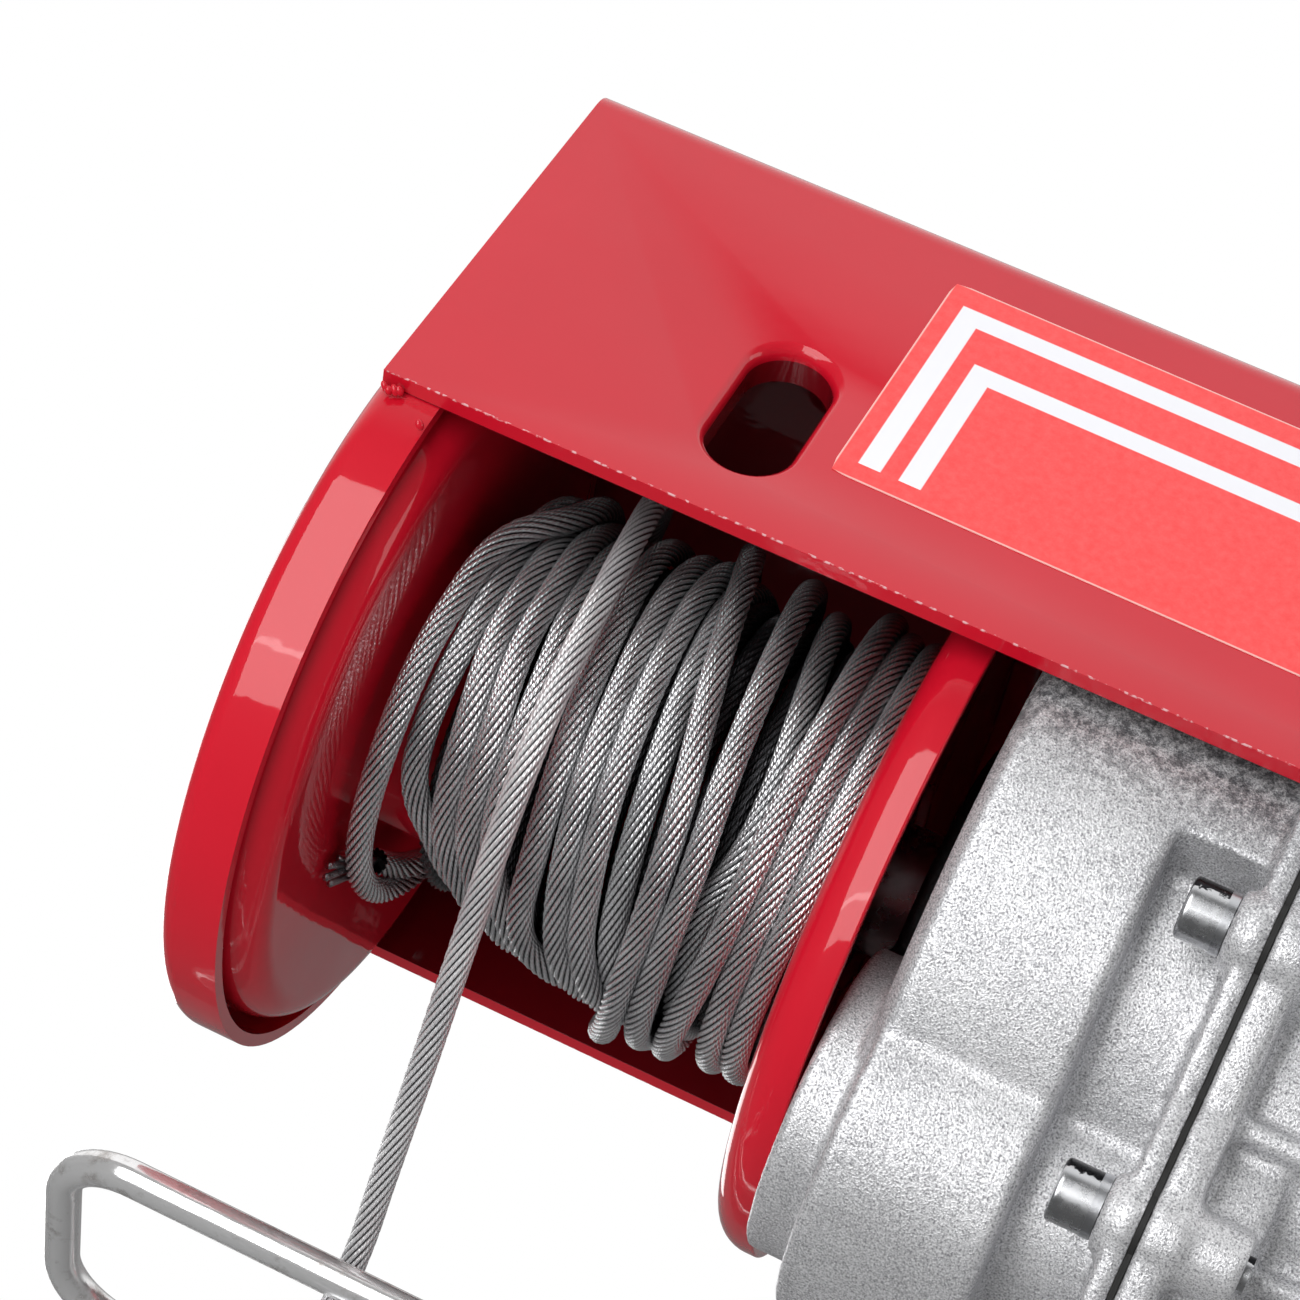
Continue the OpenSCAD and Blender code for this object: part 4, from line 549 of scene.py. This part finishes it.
# The outer layer: (angle, along the drum, radius) of the rope's centre, one row for each turn.
# The angle is 180 at the front and 270 at the bottom.
TURNS = [
    [(62, 17.5, 29.4), (80, 21.5, 30.3), (110, 25.2, 31.5), (165, 24.0, 33), (175, 21.2, 33.2),
     (185, 19.1, 33.2), (200, 18.1, 33.2), (240, 17.7, 33.2), (280, 17.7, 32.8), (300, 18.0, 31.6),
     (320, 18.3, 30.2), (340, 18.6, 29.6)],
    [(165, 23.2, 31), (190, 22.3, 31), (210, 21.5, 30.4), (233, 21.2, 29.4), (247, 21.8, 28.6),
     (256, 23.4, 28.0), (264, 25.6, 27.0), (280, 28.3, 26.2)],
    [(190, 25.0, 31), (208, 25.9, 31), (226, 27.1, 30.2), (247, 27.5, 29.2), (262, 28.3, 28.6),
     (275, 31.0, 28.2), (290, 33.6, 28.2)],
    [(183, 27.8, 31), (202, 28.9, 31), (219, 30.2, 30.6), (232, 30.9, 30), (246, 31.2, 29.6),
     (262, 32.6, 29.2), (272, 34.2, 29), (290, 37.3, 29.3)],
    [(178, 31.9, 30), (206, 34.0, 30), (230, 34.6, 30), (241, 35.0, 30), (262, 36.8, 30), (285, 40.6, 30)],
    [(167, 38.5, 32), (190, 39.8, 32), (218, 41.3, 32), (250, 42.6, 32), (272, 42.8, 32), (283, 43.8, 31.8),
     (294, 46.2, 31.4)],
    [(176, 43.6, 32), (204, 44.8, 32), (226, 45.7, 32), (247, 47.0, 32), (269, 48.4, 32), (280, 49.2, 32),
     (290, 50.8, 31.8)],
    [(171, 47.4, 32.5), (202, 48.6, 32.5), (233, 50.2, 32.5), (254, 51.6, 32.5), (273, 52.9, 32.5),
     (288, 55.1, 32.2)],
    [(165, 51.0, 31), (188, 52.2, 31), (220, 54.2, 31), (247, 55.6, 31), (268, 56.4, 31), (285, 57.6, 31)],
    [(133, 48.3, 35.2), (160, 51.9, 34.8), (183, 54.8, 34.5), (203, 57.6, 34.5), (224, 60.0, 34.5),
     (253, 60.9, 34.5), (266, 60.6, 34.5), (283, 59.5, 34.5), (298, 57.9, 34.3)],
    [(149, 59.8, 34.6), (179, 61.9, 34.5), (212, 63.9, 34.5), (238, 65.0, 34.5), (257, 64.6, 34.5),
     (282, 63.4, 34.5)],
    [(166, 66.5, 31.5), (189, 68.7, 31.5), (209, 70.1, 31.2), (228, 69.7, 30.8), (243, 67.6, 30.5),
     (270, 67.3, 30.4)],
    [(152, 72.9, 34.5), (180, 73.5, 34.6), (213, 73.0, 34.6), (239, 72.4, 34.6), (263, 70.5, 34.5),
     (279, 68.8, 34.4), (295, 67.3, 34.2)],
    [(173, 75.9, 33.5), (207, 76.5, 33.5), (239, 75.5, 33.5), (262, 74.9, 33.4), (288, 73.8, 33.2)],
    [(193, 80.2, 33.3), (217, 80.1, 33.3), (247, 79.2, 33.3), (273, 78.2, 33.3), (290, 77.6, 33.2),
     (380, 81, 30), (420, 81.3, 27.5)],
]
ANCHOR_ANGLE, ANCHOR_R = 50, 29   # the hole in the left flange that the rope comes out of
FLANGES = (13.6, 81.7)            # the rope's centre stays between these, mm along the drum
WRAP_STEP = 1.62                  # from point to point of the line, mm
CLEAR = 3.9                       # centres of two turns come no nearer than this, mm
SAME_TURN = 12                    # points no more than this far apart in the line are on one turn
HELD = 8                          # the first points stay at the anchor hole
PUSHES, SOFTENINGS = 30, 6        # rounds that part the turns, and how often each round is evened out


def evened(line):
    """Each inner point drawn towards the two beside it."""
    return (line[:-2] + 2 * line[1:-1] + line[2:]) / 4


def outer_layer():
    """The outer turns on one line from the anchor hole, parted until no two lie in each other."""
    rows = np.array([(a + 360 * i, x, r) for i, row in enumerate(TURNS) for a, x, r in row])
    angle, xr = smooth_through(rows[:, 1:], rows[:, 0])
    a = np.radians(angle)
    x = np.clip(xr[:, 0], 15.9, 81.6)
    line = np.stack([x, xr[:, 1] * np.cos(a), xr[:, 1] * np.sin(a)], 1)
    c, s = ANCHOR_R * math.cos(math.radians(ANCHOR_ANGLE)), ANCHOR_R * math.sin(math.radians(ANCHOR_ANGLE))
    lead = routed([[FLANGES[0], c, s], [15.2, c - 0.2, s + 0.2], line[0]], 0.5)[:-1]
    line = evenly(np.vstack([lead, line]), WRAP_STEP)
    n = len(line)
    apart = np.abs(np.arange(n)[:, None] - np.arange(n)[None, :]) > SAME_TURN
    for _ in range(PUSHES):
        square = (line ** 2).sum(1)
        d2 = square[:, None] + square[None, :] - 2 * line @ line.T
        i, j = np.nonzero((d2 < CLEAR ** 2) & apart)
        gap = line[i] - line[j]
        d = np.maximum(np.linalg.norm(gap, axis=1), 0.5)[:, None]
        push = np.zeros_like(line)
        count = np.zeros(n)
        np.add.at(push, i, gap / d * (CLEAR - d) * 0.5)
        np.add.at(count, i, 1)
        push /= np.maximum(count, 1)[:, None]
        for _ in range(SOFTENINGS):
            push[1:-1] = evened(push)
        push[:HELD] = 0
        line = line + push
    line[:, 0] = np.clip(line[:, 0], *FLANGES)
    for _ in range(2):
        line[1:-1] = evened(line)
    return line


def under_layer():
    """The turns below, close and even; they show between the outer ones."""
    a = np.radians(np.arange(0, 360 * 14.2, 6))
    x = 22.5 + a / math.tau * 4.15
    r = 25.6 + 2.9 * np.clip((x - 31) / 8, 0, 1)
    return evenly(np.stack([x, r * np.cos(a), r * np.sin(a)], 1), 2.4)


winding = laid_rope("rope_on_drum", "drum", WIRE, outer_layer())
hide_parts("rope_winding")
under = laid_rope("rope_under_layer", "drum", SHADED_WIRE, under_layer(), per_strand=2)
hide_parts("winding_core")

# From the drum over its top layer, down past the lever's front leg to the ferrule
FALL = [[27.5, 0, 38.2], [29.3, -9.9, 36.9], [31.2, -19.1, 33.1], [32.8, -27, 27], [34.3, -33.1, 19.1],
        [35.8, -36.9, 9.9], [36.9, -38.2, 0], [37.7, -36.9, -9.9], [38.1, -33.1, -19.1], [38.5, -27, -27],
        [38.7, -17.6, -33.9], [38.8, -7.5, -39.3], [38.9, 2.6, -44.6], [39, 12.7, -50], [39, 22.8, -55.3],
        [39, 32.9, -60.7], [39, 43, -66], [39, 47.5, -70.5], [39, 49.5, -76.5], [39, 49.5, -84]]
# The eye: middle of its two legs, its plane, the ferrule's lower end, its centre's height and its radius
EYE_MID_X, FALL_Y, FERRULE_BOTTOM, EYE_Z, EYE_R = 41.1, 49.5, -103.0, -120.0, 11.9
TAIL_DX = 4.2   # the tail lies this far beside the fall in the ferrule
LEG_X, TAIL_X = EYE_MID_X - TAIL_DX / 2, EYE_MID_X + TAIL_DX / 2
ROPE_STEP = 1.1
fall_line = routed(FALL, ROPE_STEP)
fall = laid_rope("rope_fall_to_hook", BODY["rope_fall"], LIT_WIRE, fall_line)
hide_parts("rope_fall")

eye_points = ([[LEG_X, FALL_Y, FERRULE_BOTTOM + 1],
               [LEG_X - 1.2, FALL_Y, FERRULE_BOTTOM - 4]]
              + [[EYE_MID_X - EYE_R * math.cos(b), FALL_Y, EYE_Z - EYE_R * math.sin(b)]
                 for b in np.radians(np.linspace(-30, 210, 26))]
              + [[TAIL_X + 1.2, FALL_Y, FERRULE_BOTTOM - 4],
                 [TAIL_X, FALL_Y, FERRULE_BOTTOM + 1]])
eye = laid_rope("rope_eye_loop", BODY["rope_eye"], LIT_WIRE, routed(eye_points, ROPE_STEP))
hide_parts("rope_eye")
tail = laid_rope("rope_tail_end", BODY["rope_tail"], LIT_WIRE,
                 routed([[TAIL_X, FALL_Y, -84.5], [TAIL_X, FALL_Y, -80],
                         [TAIL_X, FALL_Y, -71]], ROPE_STEP))
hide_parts("rope_tail")


# ---------------------------------------------------------------- screws, nuts, weld and loose wires

LENGTH, COUNT, ANGLES = "NodeSocketFloat", "NodeSocketInt", "NodeSocketVector"


def tree_for(name, sizes):
    """A geometry tree that takes places, named sizes and a finish, and the values that it is given."""
    tree = bpy.data.node_groups.new(name, "GeometryNodeTree")
    for title, kind in [("Places", "NodeSocketGeometry"), *sizes.items(), ("Finish", "NodeSocketMaterial")]:
        tree.interface.new_socket(title, in_out="INPUT", socket_type=kind)
    tree.interface.new_socket("Made", in_out="OUTPUT", socket_type="NodeSocketGeometry")
    return tree, add(tree, "NodeGroupInput").node.outputs


def end_tree(tree, given, copies):
    """Ends a tree: the copies made real, in one finish."""
    real = add(tree, "GeometryNodeRealizeInstances", {0: copies})
    finished = add(tree, "GeometryNodeSetMaterial", {"Geometry": real, "Material": given["Finish"]})
    add(tree, "NodeGroupOutput", {0: finished})
    return tree


def headed_screw():
    """A screw, bolt or nut: a head with a rounded rim standing on each place, a socket in it if it has one,
    and a shank the other way. Each copy is turned about itself by a chance angle."""
    tree, given = tree_for("headed_screw", {
        "Head Sides": COUNT, "Head Radius": LENGTH, "Head Height": LENGTH, "Rim": LENGTH,
        "Socket Radius": LENGTH, "Socket Depth": LENGTH, "Shank Radius": LENGTH, "Shank Length": LENGTH,
        "Facing": ANGLES})
    blank = add(tree, "GeometryNodeMeshCylinder", {
        "Vertices": given["Head Sides"], "Side Segments": 24, "Radius": given["Head Radius"],
        "Depth": given["Head Height"]})
    half = add(tree, MATH, {0: given["Head Height"], 1: 2.0}, **DIVIDED)
    at = add(tree, "GeometryNodeInputPosition")
    z = add(tree, SPLIT, {0: at}, out=2)
    rim_from = add(tree, MATH, {0: half, 1: given["Rim"]}, **MINUS)
    past_rim = add(tree, MATH, {0: z, 1: rim_from}, **MINUS)
    over = add(tree, MATH, {0: past_rim, 1: 0.0}, operation="MAXIMUM")
    share = add(tree, MATH, {0: over, 1: given["Rim"]}, use_clamp=True, **DIVIDED)
    square = add(tree, MATH, {0: share, 1: share}, **TIMES)
    rest = add(tree, MATH, {0: 1.0, 1: square}, **MINUS)
    wide = add(tree, MATH, {0: rest}, operation="SQRT")
    narrowed = add(tree, MATH, {0: 1.0, 1: wide}, **MINUS)
    drawn_in = add(tree, MATH, {0: narrowed, 1: given["Rim"]}, **TIMES)
    lost = add(tree, MATH, {0: drawn_in, 1: given["Head Radius"]}, **DIVIDED)
    kept = add(tree, MATH, {0: 1.0, 1: lost}, **MINUS)
    scale = add(tree, JOINED, {0: kept, 1: kept, 2: 1.0})
    rounded = add(tree, "ShaderNodeVectorMath", {0: at, 1: scale}, **TIMES)
    head = add(tree, "GeometryNodeSetPosition", {"Geometry": blank, "Position": rounded})
    twice = add(tree, MATH, {0: given["Socket Depth"], 1: 2.0}, **TIMES)
    key = add(tree, "GeometryNodeMeshCylinder", {
        "Vertices": 6, "Radius": given["Socket Radius"], "Depth": twice})
    in_top = add(tree, "GeometryNodeTransform", {
        "Geometry": key, "Translation": add(tree, JOINED, {2: half})})
    cut = add(tree, "GeometryNodeMeshBoolean", {0: head, 1: in_top}, operation="DIFFERENCE", solver="EXACT")
    has_socket = add(tree, "FunctionNodeCompare", {0: given["Socket Depth"], 1: 0.0},
                     operation="GREATER_THAN")
    either = add(tree, "GeometryNodeSwitch", {0: has_socket, 1: head, 2: cut}, input_type="GEOMETRY")
    shank = add(tree, "GeometryNodeMeshCylinder", {
        "Vertices": 32, "Radius": given["Shank Radius"], "Depth": given["Shank Length"]})
    half_shank = add(tree, MATH, {0: given["Shank Length"], 1: -2.0}, **DIVIDED)
    below = add(tree, "GeometryNodeTransform", {
        "Geometry": shank, "Translation": add(tree, JOINED, {2: half_shank})})
    standing = add(tree, "GeometryNodeTransform", {
        "Geometry": either, "Translation": add(tree, JOINED, {2: half})})
    whole = add(tree, "GeometryNodeJoinGeometry", {0: [standing, below]})
    copies = add(tree, COPIES, {
        "Points": given["Places"], "Instance": whole, "Rotation": given["Facing"]})
    chance = add(tree, CHANCE, {2: 0.0, 3: math.tau, 8: 7}, out=1)
    turned = add(tree, "GeometryNodeRotateInstances", {
        "Instances": copies, "Rotation": add(tree, JOINED, {2: chance}), "Local Space": True})
    return end_tree(tree, given, turned)


def weld_run():
    """Weld metal: flattened drops of a chance size that run into each other along a seam."""
    tree, given = tree_for("weld_run", {"Drop Radius": LENGTH, "Lean": ANGLES})
    drop = add(tree, "GeometryNodeMeshIcoSphere", {"Radius": given["Drop Radius"], "Subdivisions": 3})
    size = add(tree, CHANCE, {0: (0.75, 0.6, 0.55), 1: (1.25, 0.8, 0.8), 8: 3},
               data_type="FLOAT_VECTOR")
    copies = add(tree, COPIES, {
        "Points": given["Places"], "Instance": drop, "Rotation": given["Lean"], "Scale": size})
    return end_tree(tree, given, copies)


def loose_wires():
    """Cut wires that spring apart at a rope's bare end: each a thin bent wire, leaning its own way."""
    tree, given = tree_for("loose_wires", {"Wire Radius": LENGTH, "Wire Length": LENGTH, "Spread": LENGTH})
    half = add(tree, MATH, {0: given["Wire Length"], 1: 2.0}, **DIVIDED)
    bend = add(tree, MATH, {0: given["Wire Length"], 1: 4.0}, **DIVIDED)
    wire = add(tree, "GeometryNodeCurveQuadraticBezier", {
        "Resolution": 5, "Start": (0.0, 0.0, 0.0), "Middle": add(tree, JOINED, {2: half}),
        "End": add(tree, JOINED, {0: bend, 2: given["Wire Length"]})})
    section = add(tree, "GeometryNodeCurvePrimitiveCircle", {"Resolution": 6, "Radius": given["Wire Radius"]})
    round_wire = add(tree, "GeometryNodeCurveToMesh", {
        "Curve": wire, "Profile Curve": section, "Fill Caps": True})
    less = add(tree, MATH, {0: given["Spread"], 1: -1.0}, **TIMES)
    lean_x = add(tree, CHANCE, {2: less, 3: given["Spread"], 8: 11}, out=1)
    lean_y = add(tree, CHANCE, {2: less, 3: given["Spread"], 8: 12}, out=1)
    about = add(tree, CHANCE, {2: 0.0, 3: math.tau, 8: 13}, out=1)
    long = add(tree, CHANCE, {2: 0.45, 3: 1.0, 8: 14}, out=1)
    copies = add(tree, COPIES, {
        "Points": given["Places"], "Instance": round_wire,
        "Rotation": add(tree, JOINED, {0: lean_x, 1: lean_y, 2: about}),
        "Scale": add(tree, JOINED, {0: 1.0, 1: 1.0, 2: long})})
    return end_tree(tree, given, copies)


def grown(name, body, tree, places, finish_as, sizes, cad=()):
    """Runs a tree on places in metres and keeps what it makes as one plain mesh on a body."""
    mesh = bpy.data.meshes.new(name + "_places")
    mesh.from_pydata([tuple(p) for p in places], [], [])
    start = stand(mesh.name, mesh)
    maker = start.modifiers.new("made by rule", "NODES")
    maker.node_group = tree
    for item in tree.interface.items_tree:
        if item.item_type == "SOCKET" and item.in_out == "INPUT" and item.name != "Places":
            maker[item.identifier] = finish_as if item.name == "Finish" else sizes[item.name]
    piece = stand(name, plain_result(start))
    smooth(piece)
    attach(piece, body)
    if cad:
        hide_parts(*cad)


def islands(node):
    """Lowest and highest corner, in metres, of each loose piece of a CAD node."""
    b = merged(node)
    seen, boxes = set(), []
    for first in b.verts:
        if first in seen:
            continue
        seen.add(first)
        todo, found = [first], []
        while todo:
            v = todo.pop()
            found.append(v.co[:])
            for e in v.link_edges:
                other = e.other_vert(v)
                if other not in seen:
                    seen.add(other)
                    todo.append(other)
        boxes.append((np.min(found, 0), np.max(found, 0)))
    b.free()
    return boxes


SCREW_TREE, WELD_TREE, WIRE_TREE = headed_screw(), weld_run(), loose_wires()
LEFTWARDS, RIGHTWARDS, UPWARDS = (0.0, -math.pi / 2, 0.0), (0.0, math.pi / 2, 0.0), (0.0, 0.0, 0.0)
ROUND, HEXAGON = 64, 6
M5_R, M8_R = 2.5, 4.0
NO_SOCKET = {"Socket Radius": 0.0, "Socket Depth": 0.0}


def seats(node, from_low):
    """A place for each loose piece of a CAD node: on its middle line, from_low mm past its left end."""
    places = []
    for low, high in islands(node):
        spot = (low + high) / 2
        spot[0] = low[0] + from_low * MM
        places.append(spot)
    return places


def screws(name, node, sizes_mm, places, facing, finish_as, replaced=True):
    """Screws, bolts, nuts or washers at places in metres, on the body of the CAD node they stand for."""
    sizes = {key: value * MM if isinstance(value, float) else value for key, value in sizes_mm.items()}
    grown(name, BODY[node], SCREW_TREE, places, finish_as, {**sizes, "Facing": facing},
          (node,) if replaced else ())


screws("socket_head_screws", "housing_screws",
       {"Head Sides": ROUND, "Head Radius": 4.25, "Head Height": 5.0, "Rim": 0.6, "Socket Radius": 2.3,
        "Socket Depth": 2.8, "Shank Radius": M5_R, "Shank Length": 21.0},
       seats("housing_screws", 5.0), LEFTWARDS, SCREW)
screws("end_housing_cap_screws", "end_housing_screws",
       {"Head Sides": ROUND, "Head Radius": 4.5, "Head Height": 2.5, "Rim": 0.5, "Socket Radius": 2.2,
        "Socket Depth": 1.4, "Shank Radius": M5_R, "Shank Length": 9.0},
       seats("end_housing_screws", 2.5), LEFTWARDS, ZINC)
screws("end_housing_nuts", "end_housing_screws",
       {"Head Sides": HEXAGON, "Head Radius": 4.4, "Head Height": 3.0, "Rim": 0.35, **NO_SOCKET,
        "Shank Radius": M5_R, "Shank Length": 1.0},
       seats("end_housing_screws", 8.0), RIGHTWARDS, ZINC, replaced=False)

WEB_TOP, WASHER_H = 66.5, 1.4   # the channel's top face, above the drum's axis, mm
WEB_BOLTS = [(108.5, -24), (108.5, 24), (124.5, -24), (124.5, 24), (297, -24), (297, 24)]
screws("web_bolts", "frame_bolts",
       {"Head Sides": HEXAGON, "Head Radius": 7.2, "Head Height": 5.0, "Rim": 0.7, **NO_SOCKET,
        "Shank Radius": M8_R, "Shank Length": 17.4},
       place([(x, y, WEB_TOP + WASHER_H) for x, y in WEB_BOLTS]), UPWARDS, ZINC)
screws("web_bolt_washers", "frame_bolts",
       {"Head Sides": 48, "Head Radius": 8.0, "Head Height": WASHER_H, "Rim": 0.3, **NO_SOCKET,
        "Shank Radius": 4.05, "Shank Length": 0.5},
       place([(x, y, WEB_TOP) for x, y in WEB_BOLTS]), UPWARDS, ZINC, replaced=False)

TAIL_TOP = -71.2
WIRE_RINGS = ((0.5, 5), (1.2, 9), (1.7, 12))   # radius in the rope's end, mm, and wires on it
wire_places = [[TAIL_X + r * math.cos(a), FALL_Y + r * math.sin(a), TAIL_TOP]
               for r, n in WIRE_RINGS for a in np.arange(n) / n * math.tau]
grown("loose_wires_at_rope_tail", BODY["rope_tail"], WIRE_TREE, place(wire_places), WIRE_END,
      {"Wire Radius": 0.16 * MM, "Wire Length": 4.2 * MM, "Spread": 0.42})

# The rope's dead end comes back past the left flange behind the first turn, and ends there in open strands
DEAD_END = [[23.5, 25.0, 4.0], [22.0, 25.4, -4.0], [20.5, 23.4, -11.6], [18.6, 18.4, -19.4],
            [17.2, 11.6, -25.6]]
laid_rope("rope_dead_end", "drum", WIRE, routed(DEAD_END, ROPE_STEP))
STRAND_D, STRAND_LAY = 1.1, 9
OPEN_STRANDS = [((17.4, 12.4, -24.6), (15.4, 7.2, -30.6), (14.7, 4.6, -33.0)),
                ((17.0, 12.0, -25.6), (15.2, 7.0, -31.8), (14.5, 3.2, -36.0)),
                ((16.7, 11.2, -26.4), (15.2, 7.6, -32.6), (14.6, 5.0, -36.8)),
                ((16.8, 12.2, -26.6), (15.4, 9.4, -32.4), (14.8, 7.6, -35.6))]
for number, strand in enumerate(OPEN_STRANDS):
    laid_rope(f"open_strand_{number + 1}", "drum", WIRE_END, routed(strand, 0.5), diameter=STRAND_D,
              lay=STRAND_LAY)

# Weld metal at the corner where the pan's lip meets the channel's lower edge
WELD_Y = -60.9
WELD_SPOTS = [(2.0, -6.3), (2.8, -6.6), (3.5, -6.2), (4.1, -5.9), (9.4, -10.2)]
grown("weld_metal", "frame", WELD_TREE, place([(x, WELD_Y, z) for x, z in WELD_SPOTS]), RED,
      {"Drop Radius": 0.8 * MM, "Lean": (0.4, 0.3, 0.9)})


# ---------------------------------------------------------------- sheet, castings and film

dressed("channel_frame", CHANNEL_RED, 0.35)
for pressing in ("end_pan", "drum_left_flange", "drum_right_flange"):
    dressed(pressing, RED, 0.4)
cast_skin("gear_housing_left", 0.88)
cast_skin("gear_housing_right", 0.95)
dressed("end_bearing_housing", CAST, 0.8)
for moulding, edge_mm in (("terminal_box", 1.2), ("terminal_box_lid", 0.8), ("limit_switch_box", 0.8),
                          ("fan_cover", 0.5)):
    dressed(moulding, BLACK, edge_mm)
dressed("lever_bracket", ZINC, 0.5)
dressed("motor_end_shield", CAST, 0.8)

FRONT_WALL_Y = -62.5
FILM_TILT, CORNER_MM = -0.7, 1.0   # degrees on the wall; rounding of the film's corners


def film():
    """The sticker: a thin rounded sheet, very slightly turned on the wall."""
    tilt = math.radians(FILM_TILT)
    b = bmesh.new()
    grid = bmesh.ops.create_grid(b, x_segments=60, y_segments=18, size=0.5)
    uv = b.loops.layers.uv.new("film")
    flat = {}
    for v in grid["verts"]:
        x, z = (v.co.x + 0.5) * FILM_LEN, (v.co.y + 0.5) * FILM_H
        ex, ez = min(x, FILM_LEN - x), min(z, FILM_H - z)
        if ex < CORNER_MM and ez < CORNER_MM:
            x += (1 if x < FILM_LEN / 2 else -1) * (CORNER_MM - ex) * 0.3
            z += (1 if z < FILM_H / 2 else -1) * (CORNER_MM - ez) * 0.3
        flat[v] = (x, z)
        v.co = Vector(place([FILM_X + x * math.cos(tilt) - z * math.sin(tilt), FRONT_WALL_Y - FILM_T,
                             FILM_Z + x * math.sin(tilt) + z * math.cos(tilt)]))
    for f in b.faces:
        for corner in f.loops:
            corner[uv].uv = flat[corner.vert]
    ring = bmesh.ops.extrude_face_region(b, geom=b.faces[:])
    back = [g for g in ring["geom"] if isinstance(g, bmesh.types.BMVert)]
    bmesh.ops.translate(b, verts=back, vec=(0, FILM_T * MM * 0.9, 0))
    bmesh.ops.recalc_face_normals(b, faces=b.faces)
    mesh = mesh_from(b, "front_sticker")
    piece = stand("front_sticker", mesh)
    mesh.materials.append(FILM)
    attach(piece, "frame")
    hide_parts("label_plate")


film()


# ---------------------------------------------------------------- floor and light

FLOOR_Z, FLOOR_R = -0.62, 6   # metres
FILL = 0.17                   # the room's light from every side
OVERHEAD, BEHIND = 0.9, 0.12  # what the ceiling adds in front, and the share of it behind the part


def studio_floor():
    """Plain pale floor, duller in mirror images. From below it lets the light and the view through."""
    m = bpy.data.materials.new("pale_floor_paint")
    m.use_nodes = True
    t = m.node_tree
    matt = t.nodes["Principled BSDF"]
    mirrored = add(t, "ShaderNodeLightPath", out="Is Glossy Ray")
    paint = add(t, MIX, {0: mirrored, 6: linear("#dcdcdc"), 7: linear("#606060")}, **COLOURS)
    t.links.new(paint, matt.inputs["Base Color"])
    matt.inputs["Roughness"].default_value = 0.9
    under = add(t, "ShaderNodeNewGeometry", out="Backfacing")
    clear = add(t, "ShaderNodeBsdfTransparent")
    t.links.new(add(t, "ShaderNodeMixShader", {0: under, 1: matt.outputs[0], 2: clear}),
                t.nodes["Material Output"].inputs["Surface"])
    b = bmesh.new()
    bmesh.ops.create_circle(b, cap_ends=True, segments=64, radius=FLOOR_R)
    mesh = mesh_from(b, "floor")
    mesh.transform(Matrix.Translation((0, 0, FLOOR_Z)))
    mesh.materials.append(m)
    floor = stand("floor", mesh)


def studio_room():
    """A white room, brightest overhead and in front, dim behind, and plain white where the camera sees it."""
    world = bpy.data.worlds.new("studio")
    bpy.context.scene.world = world
    world.use_nodes = True
    t = world.node_tree
    t.nodes.clear()
    towards = add(t, SPLIT, {0: add(t, "ShaderNodeTexCoord", out="Generated")}).node.outputs
    ceiling = add(t, MAP, {"Value": towards["Z"], "From Min": 0.3, "From Max": 0.62, "To Max": OVERHEAD},
                  interpolation_type="SMOOTHSTEP")
    front = add(t, MAP, {"Value": towards["Y"], "From Min": 0.62, "From Max": 0.2, "To Min": BEHIND},
                interpolation_type="SMOOTHSTEP")
    lamps = add(t, MATH, {0: ceiling, 1: front}, **TIMES)
    strength = add(t, MATH, {0: lamps, 1: FILL}, operation="ADD")
    lit = add(t, "ShaderNodeBackground", {"Color": (1.0, 1.0, 1.0, 1.0), "Strength": strength})
    seen = add(t, "ShaderNodeBackground", {"Color": (1.0, 1.0, 1.0, 1.0)})
    view = add(t, "ShaderNodeLightPath", out="Is Camera Ray")
    sky = add(t, "ShaderNodeMixShader", {0: view, 1: lit, 2: seen})
    add(t, "ShaderNodeOutputWorld", {"Surface": sky})


def softbox(name, at, towards, size, radiance):
    """A flat soft light, unseen by the camera, of a given brightness."""
    lamp = bpy.data.lights.new(name, "AREA")
    lamp.shape = "RECTANGLE"
    lamp.size, lamp.size_y = size
    lamp.energy = radiance * math.pi * size[0] * size[1]
    box = stand(name, lamp)
    box.location = at
    box.rotation_euler = (Vector(towards) - Vector(at)).to_track_quat("-Z", "Y").to_euler()
    box.visible_camera = False


studio_floor()
studio_room()
# Where each stands, what it faces, its width and height, all in metres, and its radiance
softbox("softbox_behind_camera", (-0.31, -0.64, -0.42), (-0.07, 0.10, 0.08), (0.50, 0.86), 3.7)
softbox("softbox_side", (0.9, -0.3, 0.25), (-0.05, 0, -0.1), (0.5, 0.5), 1.5)
softbox("softbox_low_front", (-0.24, -0.36, -0.60), (-0.15, -0.10, -0.1), (0.34, 0.26), 3.3)
softbox("softbox_back", (-1.0, 1.1, 0.5), (-0.05, 0, -0.1), (0.9, 0.6), 2.5)

bpy.context.scene.view_settings.view_transform = "Standard"
